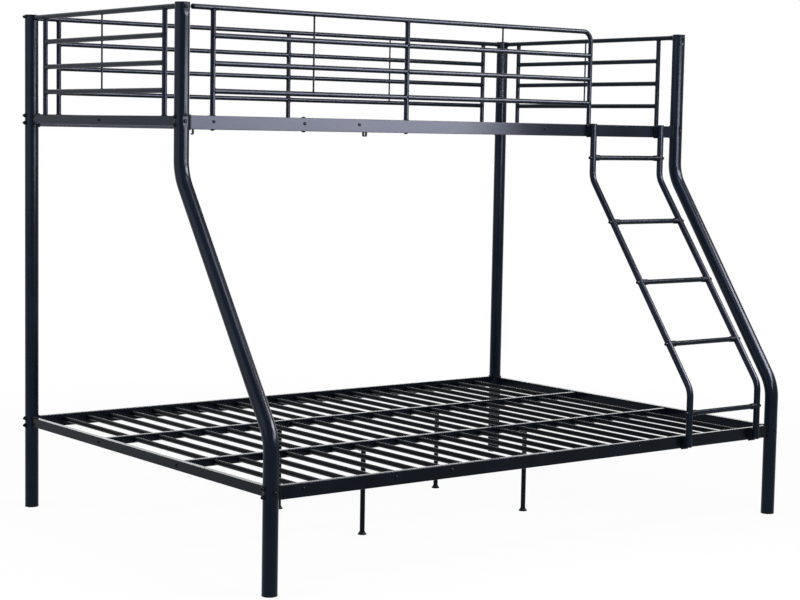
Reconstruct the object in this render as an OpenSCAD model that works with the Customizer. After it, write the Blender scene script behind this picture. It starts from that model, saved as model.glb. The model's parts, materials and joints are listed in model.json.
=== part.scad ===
// Metal bunk bed: a narrow deck over a wide deck on four posts, with tube guards round the upper deck
// and a bent ladder in front. The two front posts bend outwards from the narrow deck to the wide one.
// Millimetres. +X runs along the bed, -Y is the ladder side, +Z is up.
// The origin is on the floor, under the middle of the bed's box.

/* [Frame] */
// Distance between post axes along the bed
post_spacing = 2050; // [1900:10:2200]
// Distance between post axes across the upper deck
upper_depth = 962; // [900:2:1000]
// Distance between post axes across the lower deck
lower_depth = 1450; // [1350:10:1600]
// Height of the bolt line of the upper deck
upper_line = 1302.5; // [1260:0.5:1320]
// Height of the bolt line of the lower deck
lower_line = 290; // [250:1:330]

/* [Posts] */
// Diameter of the posts
post_d = 45; // [42:0.5:48]
// Wall of the post tubes
post_wall = 1.6; // [1.2:0.1:2.5]
// Height where the front posts start to lean outwards
upper_bend = 1148; // [1100:1:1165]
// Height where the front posts stand upright again
lower_bend = 443; // [430:1:520]
// Radius of the bends of the front posts, on their axis
post_bend_radius = 140; // [110:5:160]
// Thickness of the rim of a post cap
cap_rim = 3; // [2:0.5:5]
// How far the rim of a cap stands out past the post
cap_lip = 0.5; // [0.5:0.1:1.5]
// Thickness of the rim of a post foot
foot_rim = 4; // [3:0.5:6]
// How deep the plugs of caps and feet go into the post
plug_depth = 18; // [14:1:24]

/* [Rails] */
// Height of the rails along the bed
long_rail_h = 41; // [36:1:50]
// Thickness of the rails along the bed
long_rail_t = 15; // [15:0.5:20]
// How far the middle of a long rail lies under its bolt line
long_rail_drop = 3; // [0:0.5:4]
// Height of the rails across the ends
end_rail_h = 30; // [26:1:36]
// Thickness of the rails across the ends
end_rail_t = 20; // [17:0.5:24]
// Height of the bars that carry the inner slat ends
bar_h = 25; // [20:1:30]
// Thickness of those bars
bar_t = 15; // [13:0.5:20]
// Wall of rails and bars
rail_wall = 1.5; // [1.2:0.1:2.5]
// Length of the solid insert in each rail and bar end
insert_l = 20; // [17:1:26]
// Distance from a post axis to the first hole of a long rail
first_hole = 105; // [95:1:120]
// Distance between the axes of the ladder stiles
ladder_w = 325; // [300:5:360]

/* [Slats] */
// Diameter of the slats
slat_d = 16; // [14:0.5:18]
// Wall of the slats
slat_wall = 1.2; // [1:0.1:1.8]
// Spacing that the slats keep close to
slat_spacing = 86; // [83:1:92]
// Distance from a post axis to the first slat
slat_inset = 119; // [119:1:130]
// Number of the slat, counted from each end, that is bolted to the long rails
brace_slat = 7; // [6:1:7]

/* [Legs] */
// Diameter of the middle legs
leg_d = 16; // [14:0.5:20]
// Largest diameter of a leg foot
leg_foot_d = 28.5; // [26:0.5:32]
// Height of a leg foot
leg_foot_h = 10; // [8:0.5:16]
// Thickness of the rim at its bottom
leg_foot_rim = 4; // [3:0.5:5]
// Thickness of the plate on top of a leg
leg_plate_t = 3; // [2:0.5:4]
// Length of that plate
leg_plate_l = 46; // [42:1:56]

/* [Guards] */
// Diameter of guard tubes
guard_d = 16; // [14:0.5:16.5]
// Wall of the front guard's open end
guard_wall = 1.2; // [1:0.1:1.5]
// Height of the top guard tubes' axes over the upper rails
guard_rise = 315; // [290:0.5:400]
// Distance from the top of a post down to the top guard tube's axis
guard_drop = 11; // [11:0.5:16]
// Distance from a post axis to the first upright of the rear guard and the end guards
guard_inset = 99; // [90:1:110]
// Radius of the front guard's corner, on its axis
guard_corner = 34; // [25:1:45]
// Diameter of the thin rods
rod_d = 6; // [5:0.5:8]
// Diameter of the spigot under an upright
spigot_d = 11; // [9.5:0.5:11]

/* [Ladder] */
// Diameter of the ladder stiles
stile_d = 22; // [20:0.5:25]
// Wall of the ladder stiles
stile_wall = 1.5; // [1.2:0.1:2]
// Gap between a front rail and a stile
ladder_gap = 9; // [7:0.5:14]
// Height where the stiles start to lean outwards
stile_upper_bend = 1136; // [1100:1:1150]
// Height where the stiles stand upright again
stile_lower_bend = 459; // [440:1:520]
// Radius of the bends of the stiles, on their axis
stile_bend_radius = 70; // [50:5:85]
// How far the stiles reach above the upper rail
stile_rise = 3; // [0:0.5:30]
// How far the stiles end above the foot of the lower rail
stile_lift = 5; // [0:0.5:10]
// Thickness of the plugs in the stile ends
stile_plug_rim = 2; // [1.5:0.5:4]
// Diameter of the rungs
rung_d = 17; // [15:0.5:18]
// Height of the middle rung
rung_middle = 795; // [760:1:820]
// Distance from the middle rung to the lowest and to the highest
rung_reach = 411; // [390:1:415]
// Diameter of a rung collar
collar_d = 21; // [19.5:0.5:22]
// Length of a rung collar
collar_l = 20; // [14:1:30]
// Diameter of the head of a rung bolt
rung_head_d = 12; // [10:0.5:14]
// Height of that head
rung_head_h = 8; // [6:0.5:10]

/* [Fasteners] */
// Diameter of the frame bolts
bolt_d = 6; // [5:0.5:6.5]
// Diameter of the guard bolts
guard_bolt_d = 5; // [4:0.5:5]
// Distance between the two bolts at the end of a long rail
bolt_pair = 24; // [22:1:26]
// Diameter of a bolt head
head_d = 10; // [9:0.5:11]
// Height of a post bolt's head
head_h = 6; // [4:0.5:8]
// Height of the flat heads and nuts on the rails
low_head_h = 3; // [2:0.5:4]
// Thickness of a curved washer over the middle of its post
washer_t = 3.5; // [2.5:0.5:5]
// Thickness of the thinner washers on the front of the posts
low_washer_t = 1.5; // [1:0.5:2]
// Width of a curved washer
washer_w = 13; // [12:0.5:15]
// Thickness of the spacer between a post and a rail
saddle_t = 4; // [3:0.5:6]
// Thickness of the spacer between a post and a guard tube
guard_saddle_t = 9; // [6:0.5:12]
// How far a rail spacer stands out past the edges of its rail
saddle_edge = 2.5; // [1.5:0.5:4]
// How far the small hook hangs under the upper front rail
upper_hook_drop = 14; // [6:1:16]
// Width of the strap under the upper front rail
strap_w = 17; // [12:1:24]
// How far that strap hangs under the rail
strap_drop = 12; // [8:1:18]
// Width of a ladder bracket's plate
bracket_w = 32; // [26:1:40]
// Thickness of a ladder bracket's plate
bracket_t = 3; // [2:0.5:4]

/* [Hidden] */
$fn = 48;
// Clearance of a bolt in its hole, on the radius
hole_clear = 0.3;
// Gap between curved faces that seat on each other
fit_gap = 0.2;
// Gap that a weld closes
weld_gap = 0.1;
// Overrun of every cut
over = 1;
// Gap between a leaning tube and its bends, and the ring inside the wall that closes it
hair = 0.01;
ring_l = 4;
ring_share = 0.3;
// Size across the corners of the hex socket in a bolt head
socket_d = 4.5;
// Depth of that socket
socket_depth = 2;
// Diameter and height of the domes that close unused upright holes
dome_d = 13.5;
dome_h = 3.5;
// Length of the plug in the front guard's open end, and its width there as a share
guard_plug_l = 6;
plug_nose_share = 0.7;
// Radius, head and edge distance of the screws in a leg plate
leg_screw_r = 2.2;
leg_screw_head = 7;
leg_screw_edge = 7;
// Width of a leg plate, and thickness of a foot under its leg
leg_plate_w = 24;
foot_floor = 3;
// Wall of a leg foot round its leg
foot_wall = 1.8;
// How far bolts reach into inserts
bolt_bite = 15;
// Width of the block between a ladder bracket's plate and the stile
bracket_block_w = 14;
// How far a ladder bracket stays under the top of its rail
bracket_drop = 2;
// Thickness, width and lip of the small hook and the strap under the rail
hook_t = 2.5;
hook_w = 7;
hook_lip = 4;
// Distance from the end of the upper front rail to its hook, and from a brace bolt to the strap
hook_shift = 12;
strap_shift = 16;
// How far a ladder bracket reaches under its rail
bracket_reach = 3;

// Places of the rungs, as shares of the reach from the middle rung
rung_shares = [-1, -0.471, 0, 0.474, 1];
// Places of the bars under the lower deck, as shares of its depth
lower_bar_shares = [0.3335, 0.663];
// Place of the bar under the upper deck, as a share of its depth
upper_bar_shares = [0.5];
// Places of the middle legs, as shares of the bed's length
leg_shares = [0.331, 0.6644];

// Places of the guard tubes under the top one, as shares of the rise over the rail
guard_level_shares = [0.7429, 0.4857, 0.2286];

post_r = post_d / 2;
post_bore = post_r - post_wall;
bolt_r = bolt_d / 2;
bolt_hole = bolt_r + hole_clear;
guard_bolt_r = guard_bolt_d / 2;
guard_hole = guard_bolt_r + hole_clear;
guard_r = guard_d / 2;
slat_r = slat_d / 2;
leg_r = leg_d / 2;
rod_r = rod_d / 2;
spigot_r = spigot_d / 2;
spigot_hole = spigot_r + hole_clear;
stile_r = stile_d / 2;
rung_r = rung_d / 2;
collar_r = collar_d / 2;
head_r = head_d / 2;

// The guard bolts of neighbouring sides pass over and under each other inside a corner post
guard_bolt_shift = guard_bolt_r + 2 * fit_gap;

// Frame places before the shift to the middle of the box: the rear left post stands at zero
front_y = -lower_depth;
mid_y = -upper_depth;
rail_start = post_r + saddle_t;
guard_start = post_r + guard_saddle_t;
washer_out = post_r + washer_t;
post_reach = washer_out + head_h;
stile_offset = long_rail_t / 2 + ladder_gap + stile_r;
front_reach = lower_depth + stile_offset + stile_r;
shift_x = -post_spacing / 2;
shift_y = (front_reach - post_reach) / 2;

upper_rail_top = upper_line - long_rail_drop + long_rail_h / 2;
upper_rail_foot = upper_rail_top - long_rail_h;
lower_rail_foot = lower_line - long_rail_drop - long_rail_h / 2;
upper_end_top = upper_line + end_rail_h / 2;
guard_z = upper_rail_top + guard_rise;
guard_levels = [for (s = guard_level_shares) upper_rail_top + guard_rise * s];
post_height = guard_z + guard_drop;
post_top = post_height - cap_rim;
slat_count = round((post_spacing - 2 * slat_inset) / slat_spacing) + 1;
slat_pitch = (post_spacing - 2 * slat_inset) / (slat_count - 1);

second_hole = first_hole + ladder_w;
brace_inset = slat_inset + (brace_slat - 1) * slat_pitch;
brace_x = [brace_inset, post_spacing - brace_inset];
front_holes = [first_hole, second_hole, brace_x[0], brace_x[1],
    post_spacing - second_hole, post_spacing - first_hole];
rear_holes = [guard_inset, brace_x[0], brace_x[1], post_spacing - guard_inset];
ladder_x = [post_spacing - second_hole, post_spacing - first_hole];
guard_end_x = post_spacing - second_hole;
front_mid_x = (guard_start + guard_end_x) / 2;
front_uprights = [first_hole, front_mid_x];
front_rods = [(first_hole + front_mid_x) / 2, (front_mid_x + guard_end_x) / 2];
rear_uprights = [guard_inset, post_spacing / 2, post_spacing - guard_inset];
rear_rods = [(guard_inset + post_spacing / 2) / 2, post_spacing - (guard_inset + post_spacing / 2) / 2];
end_uprights = [-guard_inset, mid_y + guard_inset];
leg_screw_places = [leg_screw_edge - leg_plate_l / 2, leg_plate_l / 2 - leg_screw_edge];
leg_x = [for (s = leg_shares) post_spacing * s];
lower_bars = [for (s = lower_bar_shares) -lower_depth * s];
upper_bars = [for (s = upper_bar_shares) -upper_depth * s];

stile_top_y = mid_y - stile_offset;
stile_low_y = front_y - stile_offset;
stile_top = upper_rail_top + stile_rise;
stile_foot = lower_rail_foot + stile_lift;
stile_turn = atan2(stile_top_y - stile_low_y, stile_upper_bend - stile_lower_bend);
rung_z = [for (s = rung_shares) rung_middle + rung_reach * s];

// Across-the-bed place of the stile axis at a height
function stile_y(z) = z > stile_upper_bend ? stile_top_y
    : z < stile_lower_bend ? stile_low_y
    : stile_top_y - (stile_upper_bend - z) * tan(stile_turn);

// Every bolted end of a top guard tube: post place, side that the tube lies on, bolt shift, and
// whether its bolt has a low head
guard_ends = [[0, 0, "right", guard_bolt_shift, false], [post_spacing, 0, "left", guard_bolt_shift, false],
    [0, 0, "front", -guard_bolt_shift, false], [post_spacing, 0, "front", -guard_bolt_shift, false],
    [0, mid_y, "rear", -guard_bolt_shift, true], [post_spacing, mid_y, "rear", -guard_bolt_shift, true]];

// Every bolt of a rail end: post place, height, side of its head, whether that is low
rail_ends = concat(
    [for (x = [0, post_spacing])
        for (place = [[0, upper_line], [mid_y, upper_line], [0, lower_line], [front_y, lower_line]])
            for (dz = [-bolt_pair / 2, bolt_pair / 2])
                [x, place[0], place[1] + dz, x == 0 ? "left" : "right", place[0] == mid_y]],
    [for (x = [0, post_spacing]) for (line = [upper_line, lower_line]) [x, 0, line, "rear", false]],
    [for (x = [0, post_spacing]) [x, mid_y, upper_line, "front", true]],
    [for (x = [0, post_spacing]) [x, front_y, lower_line, "front", true]]);

// Distance from a post's axis to the seat of a bolt's head, and the height of the head
function seat_out(low) = post_r + (low ? low_washer_t : washer_t);
function head_tall(low) = low ? low_head_h : head_h;

// Turns local +Z towards a side of the bed
module facing(side)
{
    turn = side == "left" ? [0, -90, 0]
        : side == "right" ? [0, 90, 0]
        : side == "front" ? [90, 0, 0]
        : [-90, 0, 0];
    rotate(turn)
        children();
}

// A round bar that starts at a place and runs towards a side
module run_bar(at, side, r, l)
{
    translate(at)
        facing(side)
            cylinder(r = r, h = l);
}

// A length of tube along +Z
module pipe(r, wall, l)
{
    difference()
    {
        cylinder(r = r, h = l);
        translate([0, 0, -over])
            cylinder(r = r - wall, h = l + 2 * over);
    }
}

// A bend of a tube, in the plane Z = 0
module elbow(r, wall, bend, turn)
{
    rotate_extrude(angle = turn)
        translate([bend, 0])
            difference()
            {
                circle(r = r);
                circle(r = r - wall);
            }
}

// A tube that leans out between two bends, in the plane X = 0. Thin rings inside the wall join the
// leaning length to its bends across a hair's gap.
module lean(r, wall, top_y, low_y, top_z, low_z, hi, lo, bend)
{
    turn = atan2(top_y - low_y, hi - lo);
    tangent = bend * tan(turn / 2);
    slope_l = (hi - lo) / cos(turn) - 2 * tangent;
    translate([0, low_y, lo - tangent])
        mirror([0, 0, 1])
            pipe(r, wall, lo - tangent - low_z);
    translate([0, low_y + bend, lo - tangent])
        rotate([0, -90, 0])
            rotate([0, 0, -90])
                elbow(r, wall, bend, turn);
    translate([0, low_y + tangent * sin(turn), lo + tangent * cos(turn)])
        rotate([-turn, 0, 0])
        {
            translate([0, 0, hair])
                pipe(r, wall, slope_l - 2 * hair);
            for (z = [-ring_l / 2, slope_l - ring_l / 2])
                translate([0, 0, z])
                    pipe(r - wall * ring_share, wall * (1 - 2 * ring_share), ring_l);
        }
    translate([0, top_y - bend, hi + tangent])
        rotate([0, -90, 0])
            rotate([0, 0, 90])
                elbow(r, wall, bend, turn);
    translate([0, top_y, hi + tangent])
        pipe(r, wall, top_z - hi - tangent);
}

// Holes across a post for one deck: two along the bed, one across it
module deck_holes(line)
{
    for (z = [line - bolt_pair / 2, line + bolt_pair / 2])
        run_bar([-post_d, 0, z], "right", bolt_hole, 2 * post_d);
    run_bar([0, post_d, line], "front", bolt_hole, 2 * post_d);
}

// Holes across a post for the top guard tubes, one along the bed only where the rear guard ends
module guard_holes(along)
{
    if (along)
        run_bar([-post_d, 0, guard_z + guard_bolt_shift], "right", guard_hole, 2 * post_d);
    run_bar([0, post_d, guard_z - guard_bolt_shift], "front", guard_hole, 2 * post_d);
}

module rear_post(x)
{
    translate([x, 0, 0])
        difference()
        {
            translate([0, 0, foot_rim])
                cylinder(r = post_r, h = post_top - foot_rim);
            translate([0, 0, foot_rim - over])
                cylinder(r = post_bore, h = post_top - foot_rim + 2 * over);
            deck_holes(upper_line);
            deck_holes(lower_line);
            guard_holes(true);
        }
}

module front_post(x)
{
    translate([x, 0, 0])
        difference()
        {
            lean(post_r, post_wall, mid_y, front_y, post_top, foot_rim, upper_bend, lower_bend,
                post_bend_radius);
            translate([0, mid_y, 0])
                deck_holes(upper_line);
            translate([0, front_y, 0])
                deck_holes(lower_line);
            translate([0, mid_y, 0])
                guard_holes(false);
        }
}

// A rail along the bed, hollow between its end inserts
module long_rail(y, line, holes, uprights)
{
    l = post_spacing - 2 * rail_start;
    z0 = line - long_rail_drop - long_rail_h / 2;
    difference()
    {
        translate([rail_start, y - long_rail_t / 2, z0])
            cube([l, long_rail_t, long_rail_h]);
        translate([rail_start + insert_l, y - long_rail_t / 2 + rail_wall, z0 + rail_wall])
            cube([l - 2 * insert_l, long_rail_t - 2 * rail_wall, long_rail_h - 2 * rail_wall]);
        for (z = [line - bolt_pair / 2, line + bolt_pair / 2])
        {
            run_bar([rail_start - over, y, z], "right", bolt_hole, insert_l + 2 * over);
            run_bar([post_spacing - rail_start + over, y, z], "left", bolt_hole, insert_l + 2 * over);
        }
        for (x = holes)
            run_bar([x, y + long_rail_t / 2 + over, line], "front", bolt_hole, long_rail_t + 2 * over);
        for (x = uprights)
            translate([x, y, z0 - over])
                cylinder(r = spigot_hole, h = long_rail_h + 2 * over);
    }
}

// A rail across an end, hollow between its end inserts
module end_rail(x, depth, line, bolts)
{
    l = depth - 2 * rail_start;
    z0 = line - end_rail_h / 2;
    difference()
    {
        translate([x - end_rail_t / 2, -depth + rail_start, z0])
            cube([end_rail_t, l, end_rail_h]);
        translate([x - end_rail_t / 2 + rail_wall, -depth + rail_start + insert_l, z0 + rail_wall])
            cube([end_rail_t - 2 * rail_wall, l - 2 * insert_l, end_rail_h - 2 * rail_wall]);
        run_bar([x, -rail_start + over, line], "front", bolt_hole, insert_l + 2 * over);
        run_bar([x, -depth + rail_start - over, line], "rear", bolt_hole, insert_l + 2 * over);
        for (y = bolts)
            run_bar([x - end_rail_t / 2 - over, y, line], "right", bolt_hole, end_rail_t + 2 * over);
    }
}

// A bar along the bed between the end rails, drilled from below where legs are screwed on
module slat_bar(y, line, legs)
{
    l = post_spacing - end_rail_t;
    difference()
    {
        translate([end_rail_t / 2, y - bar_t / 2, line - bar_h / 2])
            cube([l, bar_t, bar_h]);
        translate([end_rail_t / 2 + insert_l, y - bar_t / 2 + rail_wall, line - bar_h / 2 + rail_wall])
            cube([l - 2 * insert_l, bar_t - 2 * rail_wall, bar_h - 2 * rail_wall]);
        run_bar([end_rail_t / 2 - over, y, line], "right", bolt_hole, insert_l + over);
        run_bar([post_spacing - end_rail_t / 2 + over, y, line], "left", bolt_hole, insert_l + over);
        for (x = legs)
            for (dx = leg_screw_places)
                translate([x + dx, y, line - bar_h / 2 - over])
                    cylinder(r = leg_screw_r + hole_clear, h = rail_wall + 2 * over);
    }
}

// One row of slats between two faces
module slat_row(from_y, to_y, line)
{
    l = from_y - to_y;
    for (i = [0 : slat_count - 1])
        translate([slat_inset + i * slat_pitch, from_y, line])
            rotate([90, 0, 0])
                pipe(slat_r, slat_wall, l);
}

// A guard upright down to its rail, with any spigot that goes into the rail
module upright(at, rail_top, spigot, side)
{
    difference()
    {
        union()
        {
            translate([at[0], at[1], rail_top])
                cylinder(r = guard_r, h = guard_z - rail_top);
            if (spigot > 0)
                translate([at[0], at[1], rail_top - spigot])
                    cylinder(r = spigot_r, h = spigot);
        }
        if (side == "long")
            run_bar([0, at[1], guard_z], "right", guard_r + weld_gap, post_spacing);
        if (side == "end")
            run_bar([at[0], 0, guard_z], "front", guard_r + weld_gap, upper_depth);
        if (spigot > 0)
            run_bar([at[0], at[1] + post_d, upper_line], "front", bolt_hole, 2 * post_d);
    }
}

// Uprights as plain bars, to cut the ends of the guard bars to their round
module upright_cutters(places)
{
    for (p = places)
        translate([p[0], p[1], upper_rail_foot])
            cylinder(r = guard_r + weld_gap, h = post_height - upper_rail_foot);
}

// A bolt with its head on the plane Z = 0 and its shank below
module bolt(r, l, tall)
{
    difference()
    {
        cylinder(r = head_r, h = tall);
        translate([0, 0, tall - socket_depth])
            cylinder(d = socket_d, h = socket_depth + over, $fn = 6);
    }
    translate([0, 0, -l])
        cylinder(r = r, h = l);
}

// A block that is flat outside and curved to the post inside, drilled for its bolts
module saddle(side, t, w, h, hole, shifts)
{
    up = side == "left" || side == "front" ? 1 : -1;
    spin = side == "front" || side == "rear" ? 90 : 0;
    facing(side)
        rotate([0, 0, spin])
        difference()
        {
            translate([-h / 2, -w / 2, 0])
                cube([h, w, post_r + t]);
            translate([-h / 2 - over, 0, 0])
                rotate([0, 90, 0])
                    cylinder(r = post_r + fit_gap, h = h + 2 * over);
            for (s = shifts)
                translate([up * s, 0, 0])
                    cylinder(r = hole, h = post_r + t + over);
        }
}

// Moves a piece from the frame's own places to the middle of the box
module placed()
{
    translate([shift_x, shift_y, 0])
        children();
}

// One curved washer outside a post, at a height
module washer(at, side, low, h, hole)
{
    translate(at)
        saddle(side, low ? low_washer_t : washer_t, washer_w, h, hole, [0]);
}

// A length of a ladder stile as a solid bar round a height, to cut the pieces that seat on it
module stile_cutter(z)
{
    leans = z > stile_lower_bend && z < stile_upper_bend;
    translate([0, stile_y(z), z])
        rotate([leans ? -stile_turn : 0, 0, 0])
            translate([0, 0, -stile_d])
                cylinder(r = stile_r + weld_gap, h = 2 * stile_d);
}

module stile(x)
{
    translate([x, 0, 0])
        difference()
        {
            lean(stile_r, stile_wall, stile_top_y, stile_low_y, stile_top - stile_plug_rim,
                stile_foot + stile_plug_rim, stile_upper_bend, stile_lower_bend, stile_bend_radius);
            for (z = rung_z)
                run_bar([-stile_d, stile_y(z), z], "right", bolt_hole, 2 * stile_d);
            run_bar([0, stile_top_y, upper_line], "rear", bolt_hole, stile_d);
            run_bar([0, stile_low_y, lower_line], "rear", bolt_hole, stile_d);
        }
}

module rear_left_post()
{
    color([0.13, 0.15, 0.18])
        placed()
            rear_post(0);
}

module rear_right_post()
{
    color([0.13, 0.15, 0.18])
        placed()
            rear_post(post_spacing);
}

module front_left_post()
{
    color([0.15, 0.17, 0.2])
        placed()
            front_post(0);
}

module front_right_post()
{
    color([0.15, 0.17, 0.2])
        placed()
            front_post(post_spacing);
}

module post_caps()
{
    color([0.05, 0.05, 0.06])
        placed()
            for (x = [0, post_spacing])
                for (y = [0, mid_y])
                    translate([x, y, 0])
                        difference()
                        {
                            union()
                            {
                                translate([0, 0, post_top])
                                    cylinder(r = post_r + cap_lip, h = cap_rim);
                                translate([0, 0, post_top - plug_depth])
                                    cylinder(r = post_bore - fit_gap, h = plug_depth);
                            }
                            guard_holes(y == 0);
                        }
}

module post_feet()
{
    color([0.05, 0.05, 0.06])
        placed()
            for (x = [0, post_spacing])
                for (y = [0, front_y])
                    translate([x, y, 0])
                    {
                        cylinder(r = post_r + cap_lip / 2, h = foot_rim);
                        translate([0, 0, foot_rim])
                            cylinder(r = post_bore - fit_gap, h = plug_depth);
                    }
}

module upper_front_rail()
{
    color([0.4, 0.4, 0.46])
        placed()
            long_rail(mid_y, upper_line, front_holes, [first_hole, second_hole, front_mid_x, guard_end_x]);
}

module upper_rear_rail()
{
    color([0.3, 0.3, 0.36])
        placed()
            long_rail(0, upper_line, rear_holes, rear_uprights);
}

module upper_left_rail()
{
    color([0.25, 0.25, 0.3])
        placed()
            end_rail(0, upper_depth, upper_line, upper_bars);
}

module upper_right_rail()
{
    color([0.25, 0.25, 0.3])
        placed()
            end_rail(post_spacing, upper_depth, upper_line, upper_bars);
}

module lower_front_rail()
{
    color([0.2, 0.22, 0.25])
        placed()
            long_rail(front_y, lower_line, front_holes, []);
}

module lower_rear_rail()
{
    color([0.2, 0.22, 0.25])
        placed()
            long_rail(0, lower_line, rear_holes, []);
}

module lower_left_rail()
{
    color([0.28, 0.28, 0.32])
        placed()
            end_rail(0, lower_depth, lower_line, lower_bars);
}

module lower_right_rail()
{
    color([0.28, 0.28, 0.32])
        placed()
            end_rail(post_spacing, lower_depth, lower_line, lower_bars);
}

module upper_bar()
{
    color([0.2, 0.2, 0.24])
        placed()
            slat_bar(upper_bars[0], upper_line, []);
}

module lower_bars_pair()
{
    color([0.2, 0.2, 0.24])
        placed()
            for (y = lower_bars)
                slat_bar(y, lower_line, leg_x);
}

module upper_rear_slats()
{
    color([0.24, 0.25, 0.27])
        placed()
            slat_row(-long_rail_t / 2, upper_bars[0] + bar_t / 2, upper_line);
}

module upper_front_slats()
{
    color([0.24, 0.25, 0.27])
        placed()
            slat_row(upper_bars[0] - bar_t / 2, mid_y + long_rail_t / 2, upper_line);
}

module lower_rear_slats()
{
    color([0.24, 0.25, 0.27])
        placed()
            slat_row(-long_rail_t / 2, lower_bars[0] + bar_t / 2, lower_line);
}

module lower_middle_slats()
{
    color([0.24, 0.25, 0.27])
        placed()
            slat_row(lower_bars[0] - bar_t / 2, lower_bars[1] + bar_t / 2, lower_line);
}

module lower_front_slats()
{
    color([0.24, 0.25, 0.27])
        placed()
            slat_row(lower_bars[1] - bar_t / 2, front_y + long_rail_t / 2, lower_line);
}

// Threaded inserts in the slats that are bolted to the long rails
module brace_inserts()
{
    color([0.6, 0.6, 0.62])
        placed()
            for (place = [[0, upper_line, -1], [mid_y, upper_line, 1],
                    [0, lower_line, -1], [front_y, lower_line, 1]])
                for (x = brace_x)
                    translate([x, place[0] + place[2] * long_rail_t / 2, place[1]])
                        rotate([-90 * place[2], 0, 0])
                            difference()
                            {
                                cylinder(r = slat_r - slat_wall - fit_gap, h = bolt_bite);
                                translate([0, 0, -over])
                                    cylinder(r = bolt_r + fit_gap, h = bolt_bite + 2 * over);
                            }
}

module middle_legs()
{
    plate_z = lower_line - bar_h / 2 - leg_plate_t;
    color([0.2, 0.22, 0.25])
        placed()
            for (x = leg_x)
                for (y = lower_bars)
                    translate([x, y, 0])
                        difference()
                        {
                            union()
                            {
                                translate([0, 0, foot_floor])
                                    cylinder(r = leg_r, h = plate_z - foot_floor);
                                translate([-leg_plate_l / 2, -leg_plate_w / 2, plate_z])
                                    cube([leg_plate_l, leg_plate_w, leg_plate_t]);
                            }
                            translate([0, 0, foot_floor - over])
                                cylinder(r = leg_r - slat_wall, h = plate_z - foot_floor + over);
                            for (dx = leg_screw_places)
                                translate([dx, 0, plate_z - over])
                                    cylinder(r = leg_screw_r + hole_clear, h = leg_plate_t + 2 * over);
                        }
}

module leg_feet()
{
    color([0.05, 0.05, 0.06])
        placed()
            for (x = leg_x)
                for (y = lower_bars)
                    translate([x, y, 0])
                        difference()
                        {
                            union()
                            {
                                cylinder(d = leg_foot_d, h = leg_foot_rim);
                                cylinder(r1 = leg_foot_d / 2 - foot_wall, r2 = leg_r + foot_wall,
                                    h = leg_foot_h);
                            }
                            translate([0, 0, foot_floor])
                                cylinder(r = leg_r + fit_gap, h = leg_foot_h);
                        }
}

module leg_screws()
{
    color([0.5, 0.5, 0.52])
        placed()
            for (x = leg_x)
                for (y = lower_bars)
                    for (dx = leg_screw_places)
                        translate([x + dx, y, lower_line - bar_h / 2 - leg_plate_t])
                        {
                            translate([0, 0, -low_head_h])
                                cylinder(d = leg_screw_head, h = low_head_h);
                            cylinder(r = leg_screw_r, h = leg_plate_t + rail_wall + low_head_h);
                        }
}

// The front guard's top tube turns down into its upright next to the ladder
module front_guard_frame()
{
    color([0.3, 0.3, 0.38])
        placed()
            difference()
            {
                union()
                {
                    run_bar([guard_start + guard_plug_l, mid_y, guard_z], "right", guard_r,
                        guard_end_x - guard_corner - guard_start - guard_plug_l);
                    translate([guard_end_x - guard_corner, mid_y, guard_z - guard_corner])
                        rotate([90, 0, 0])
                            rotate_extrude(angle = 90)
                                translate([guard_corner, 0])
                                    circle(r = guard_r);
                    translate([guard_end_x, mid_y, upper_rail_top])
                        cylinder(r = guard_r, h = guard_z - guard_corner - upper_rail_top);
                    translate([guard_end_x, mid_y, upper_rail_foot + dome_h])
                        cylinder(r = spigot_r, h = long_rail_h - dome_h);
                }
                run_bar([guard_start + guard_plug_l - over, mid_y, guard_z], "right",
                    guard_r - guard_wall, bolt_bite + over);
                run_bar([guard_end_x, mid_y + post_d, upper_line], "front", bolt_hole, 2 * post_d);
            }
}

// The plug in the end of the front guard's top tube, which stops short of its post
module guard_plug()
{
    color([0.05, 0.05, 0.06])
        placed()
            translate([guard_start + guard_plug_l, mid_y, guard_z])
            {
                facing("left")
                {
                    cylinder(r = guard_r, h = guard_plug_l / 2);
                    translate([0, 0, guard_plug_l / 2])
                        cylinder(r1 = guard_r, r2 = guard_r * plug_nose_share, h = guard_plug_l / 2);
                }
                facing("right")
                    cylinder(r = guard_r - guard_wall - fit_gap, h = bolt_bite - over);
            }
}

module front_guard_uprights()
{
    color([0.28, 0.28, 0.34])
        placed()
            for (x = front_uprights)
                upright([x, mid_y], upper_rail_top, long_rail_h - dome_h, "long");
}

module front_guard_bars()
{
    color([0.3, 0.3, 0.38])
        placed()
            difference()
            {
                for (z = guard_levels)
                    run_bar([first_hole, mid_y, z], "right", guard_r, guard_end_x - first_hole);
                upright_cutters([[first_hole, mid_y], [front_mid_x, mid_y], [guard_end_x, mid_y]]);
            }
}

// Thin rods from the top tube to the lowest bar, stopped at each bar
module rods(places, side)
{
    difference()
    {
        for (p = places)
            translate([p[0], p[1], guard_levels[2]])
                cylinder(r = rod_r, h = guard_z - guard_levels[2]);
        for (p = places)
            for (z = concat([guard_z], guard_levels))
                if (side == "long")
                    run_bar([p[0] - guard_d, p[1], z], "right", guard_r + weld_gap, 2 * guard_d);
                else
                    run_bar([p[0], p[1] - guard_d, z], "rear", guard_r + weld_gap, 2 * guard_d);
    }
}

module front_guard_rods()
{
    color([0.3, 0.3, 0.36])
        placed()
            rods([for (x = front_rods) [x, mid_y]], "long");
}

module rear_guard_top()
{
    color([0.26, 0.28, 0.32])
        placed()
            difference()
            {
                run_bar([guard_start, 0, guard_z], "right", guard_r, post_spacing - 2 * guard_start);
                run_bar([guard_start - over, 0, guard_z + guard_bolt_shift], "right", guard_hole,
                    bolt_bite + over);
                run_bar([post_spacing - guard_start + over, 0, guard_z + guard_bolt_shift], "left",
                    guard_hole, bolt_bite + over);
            }
}

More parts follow.
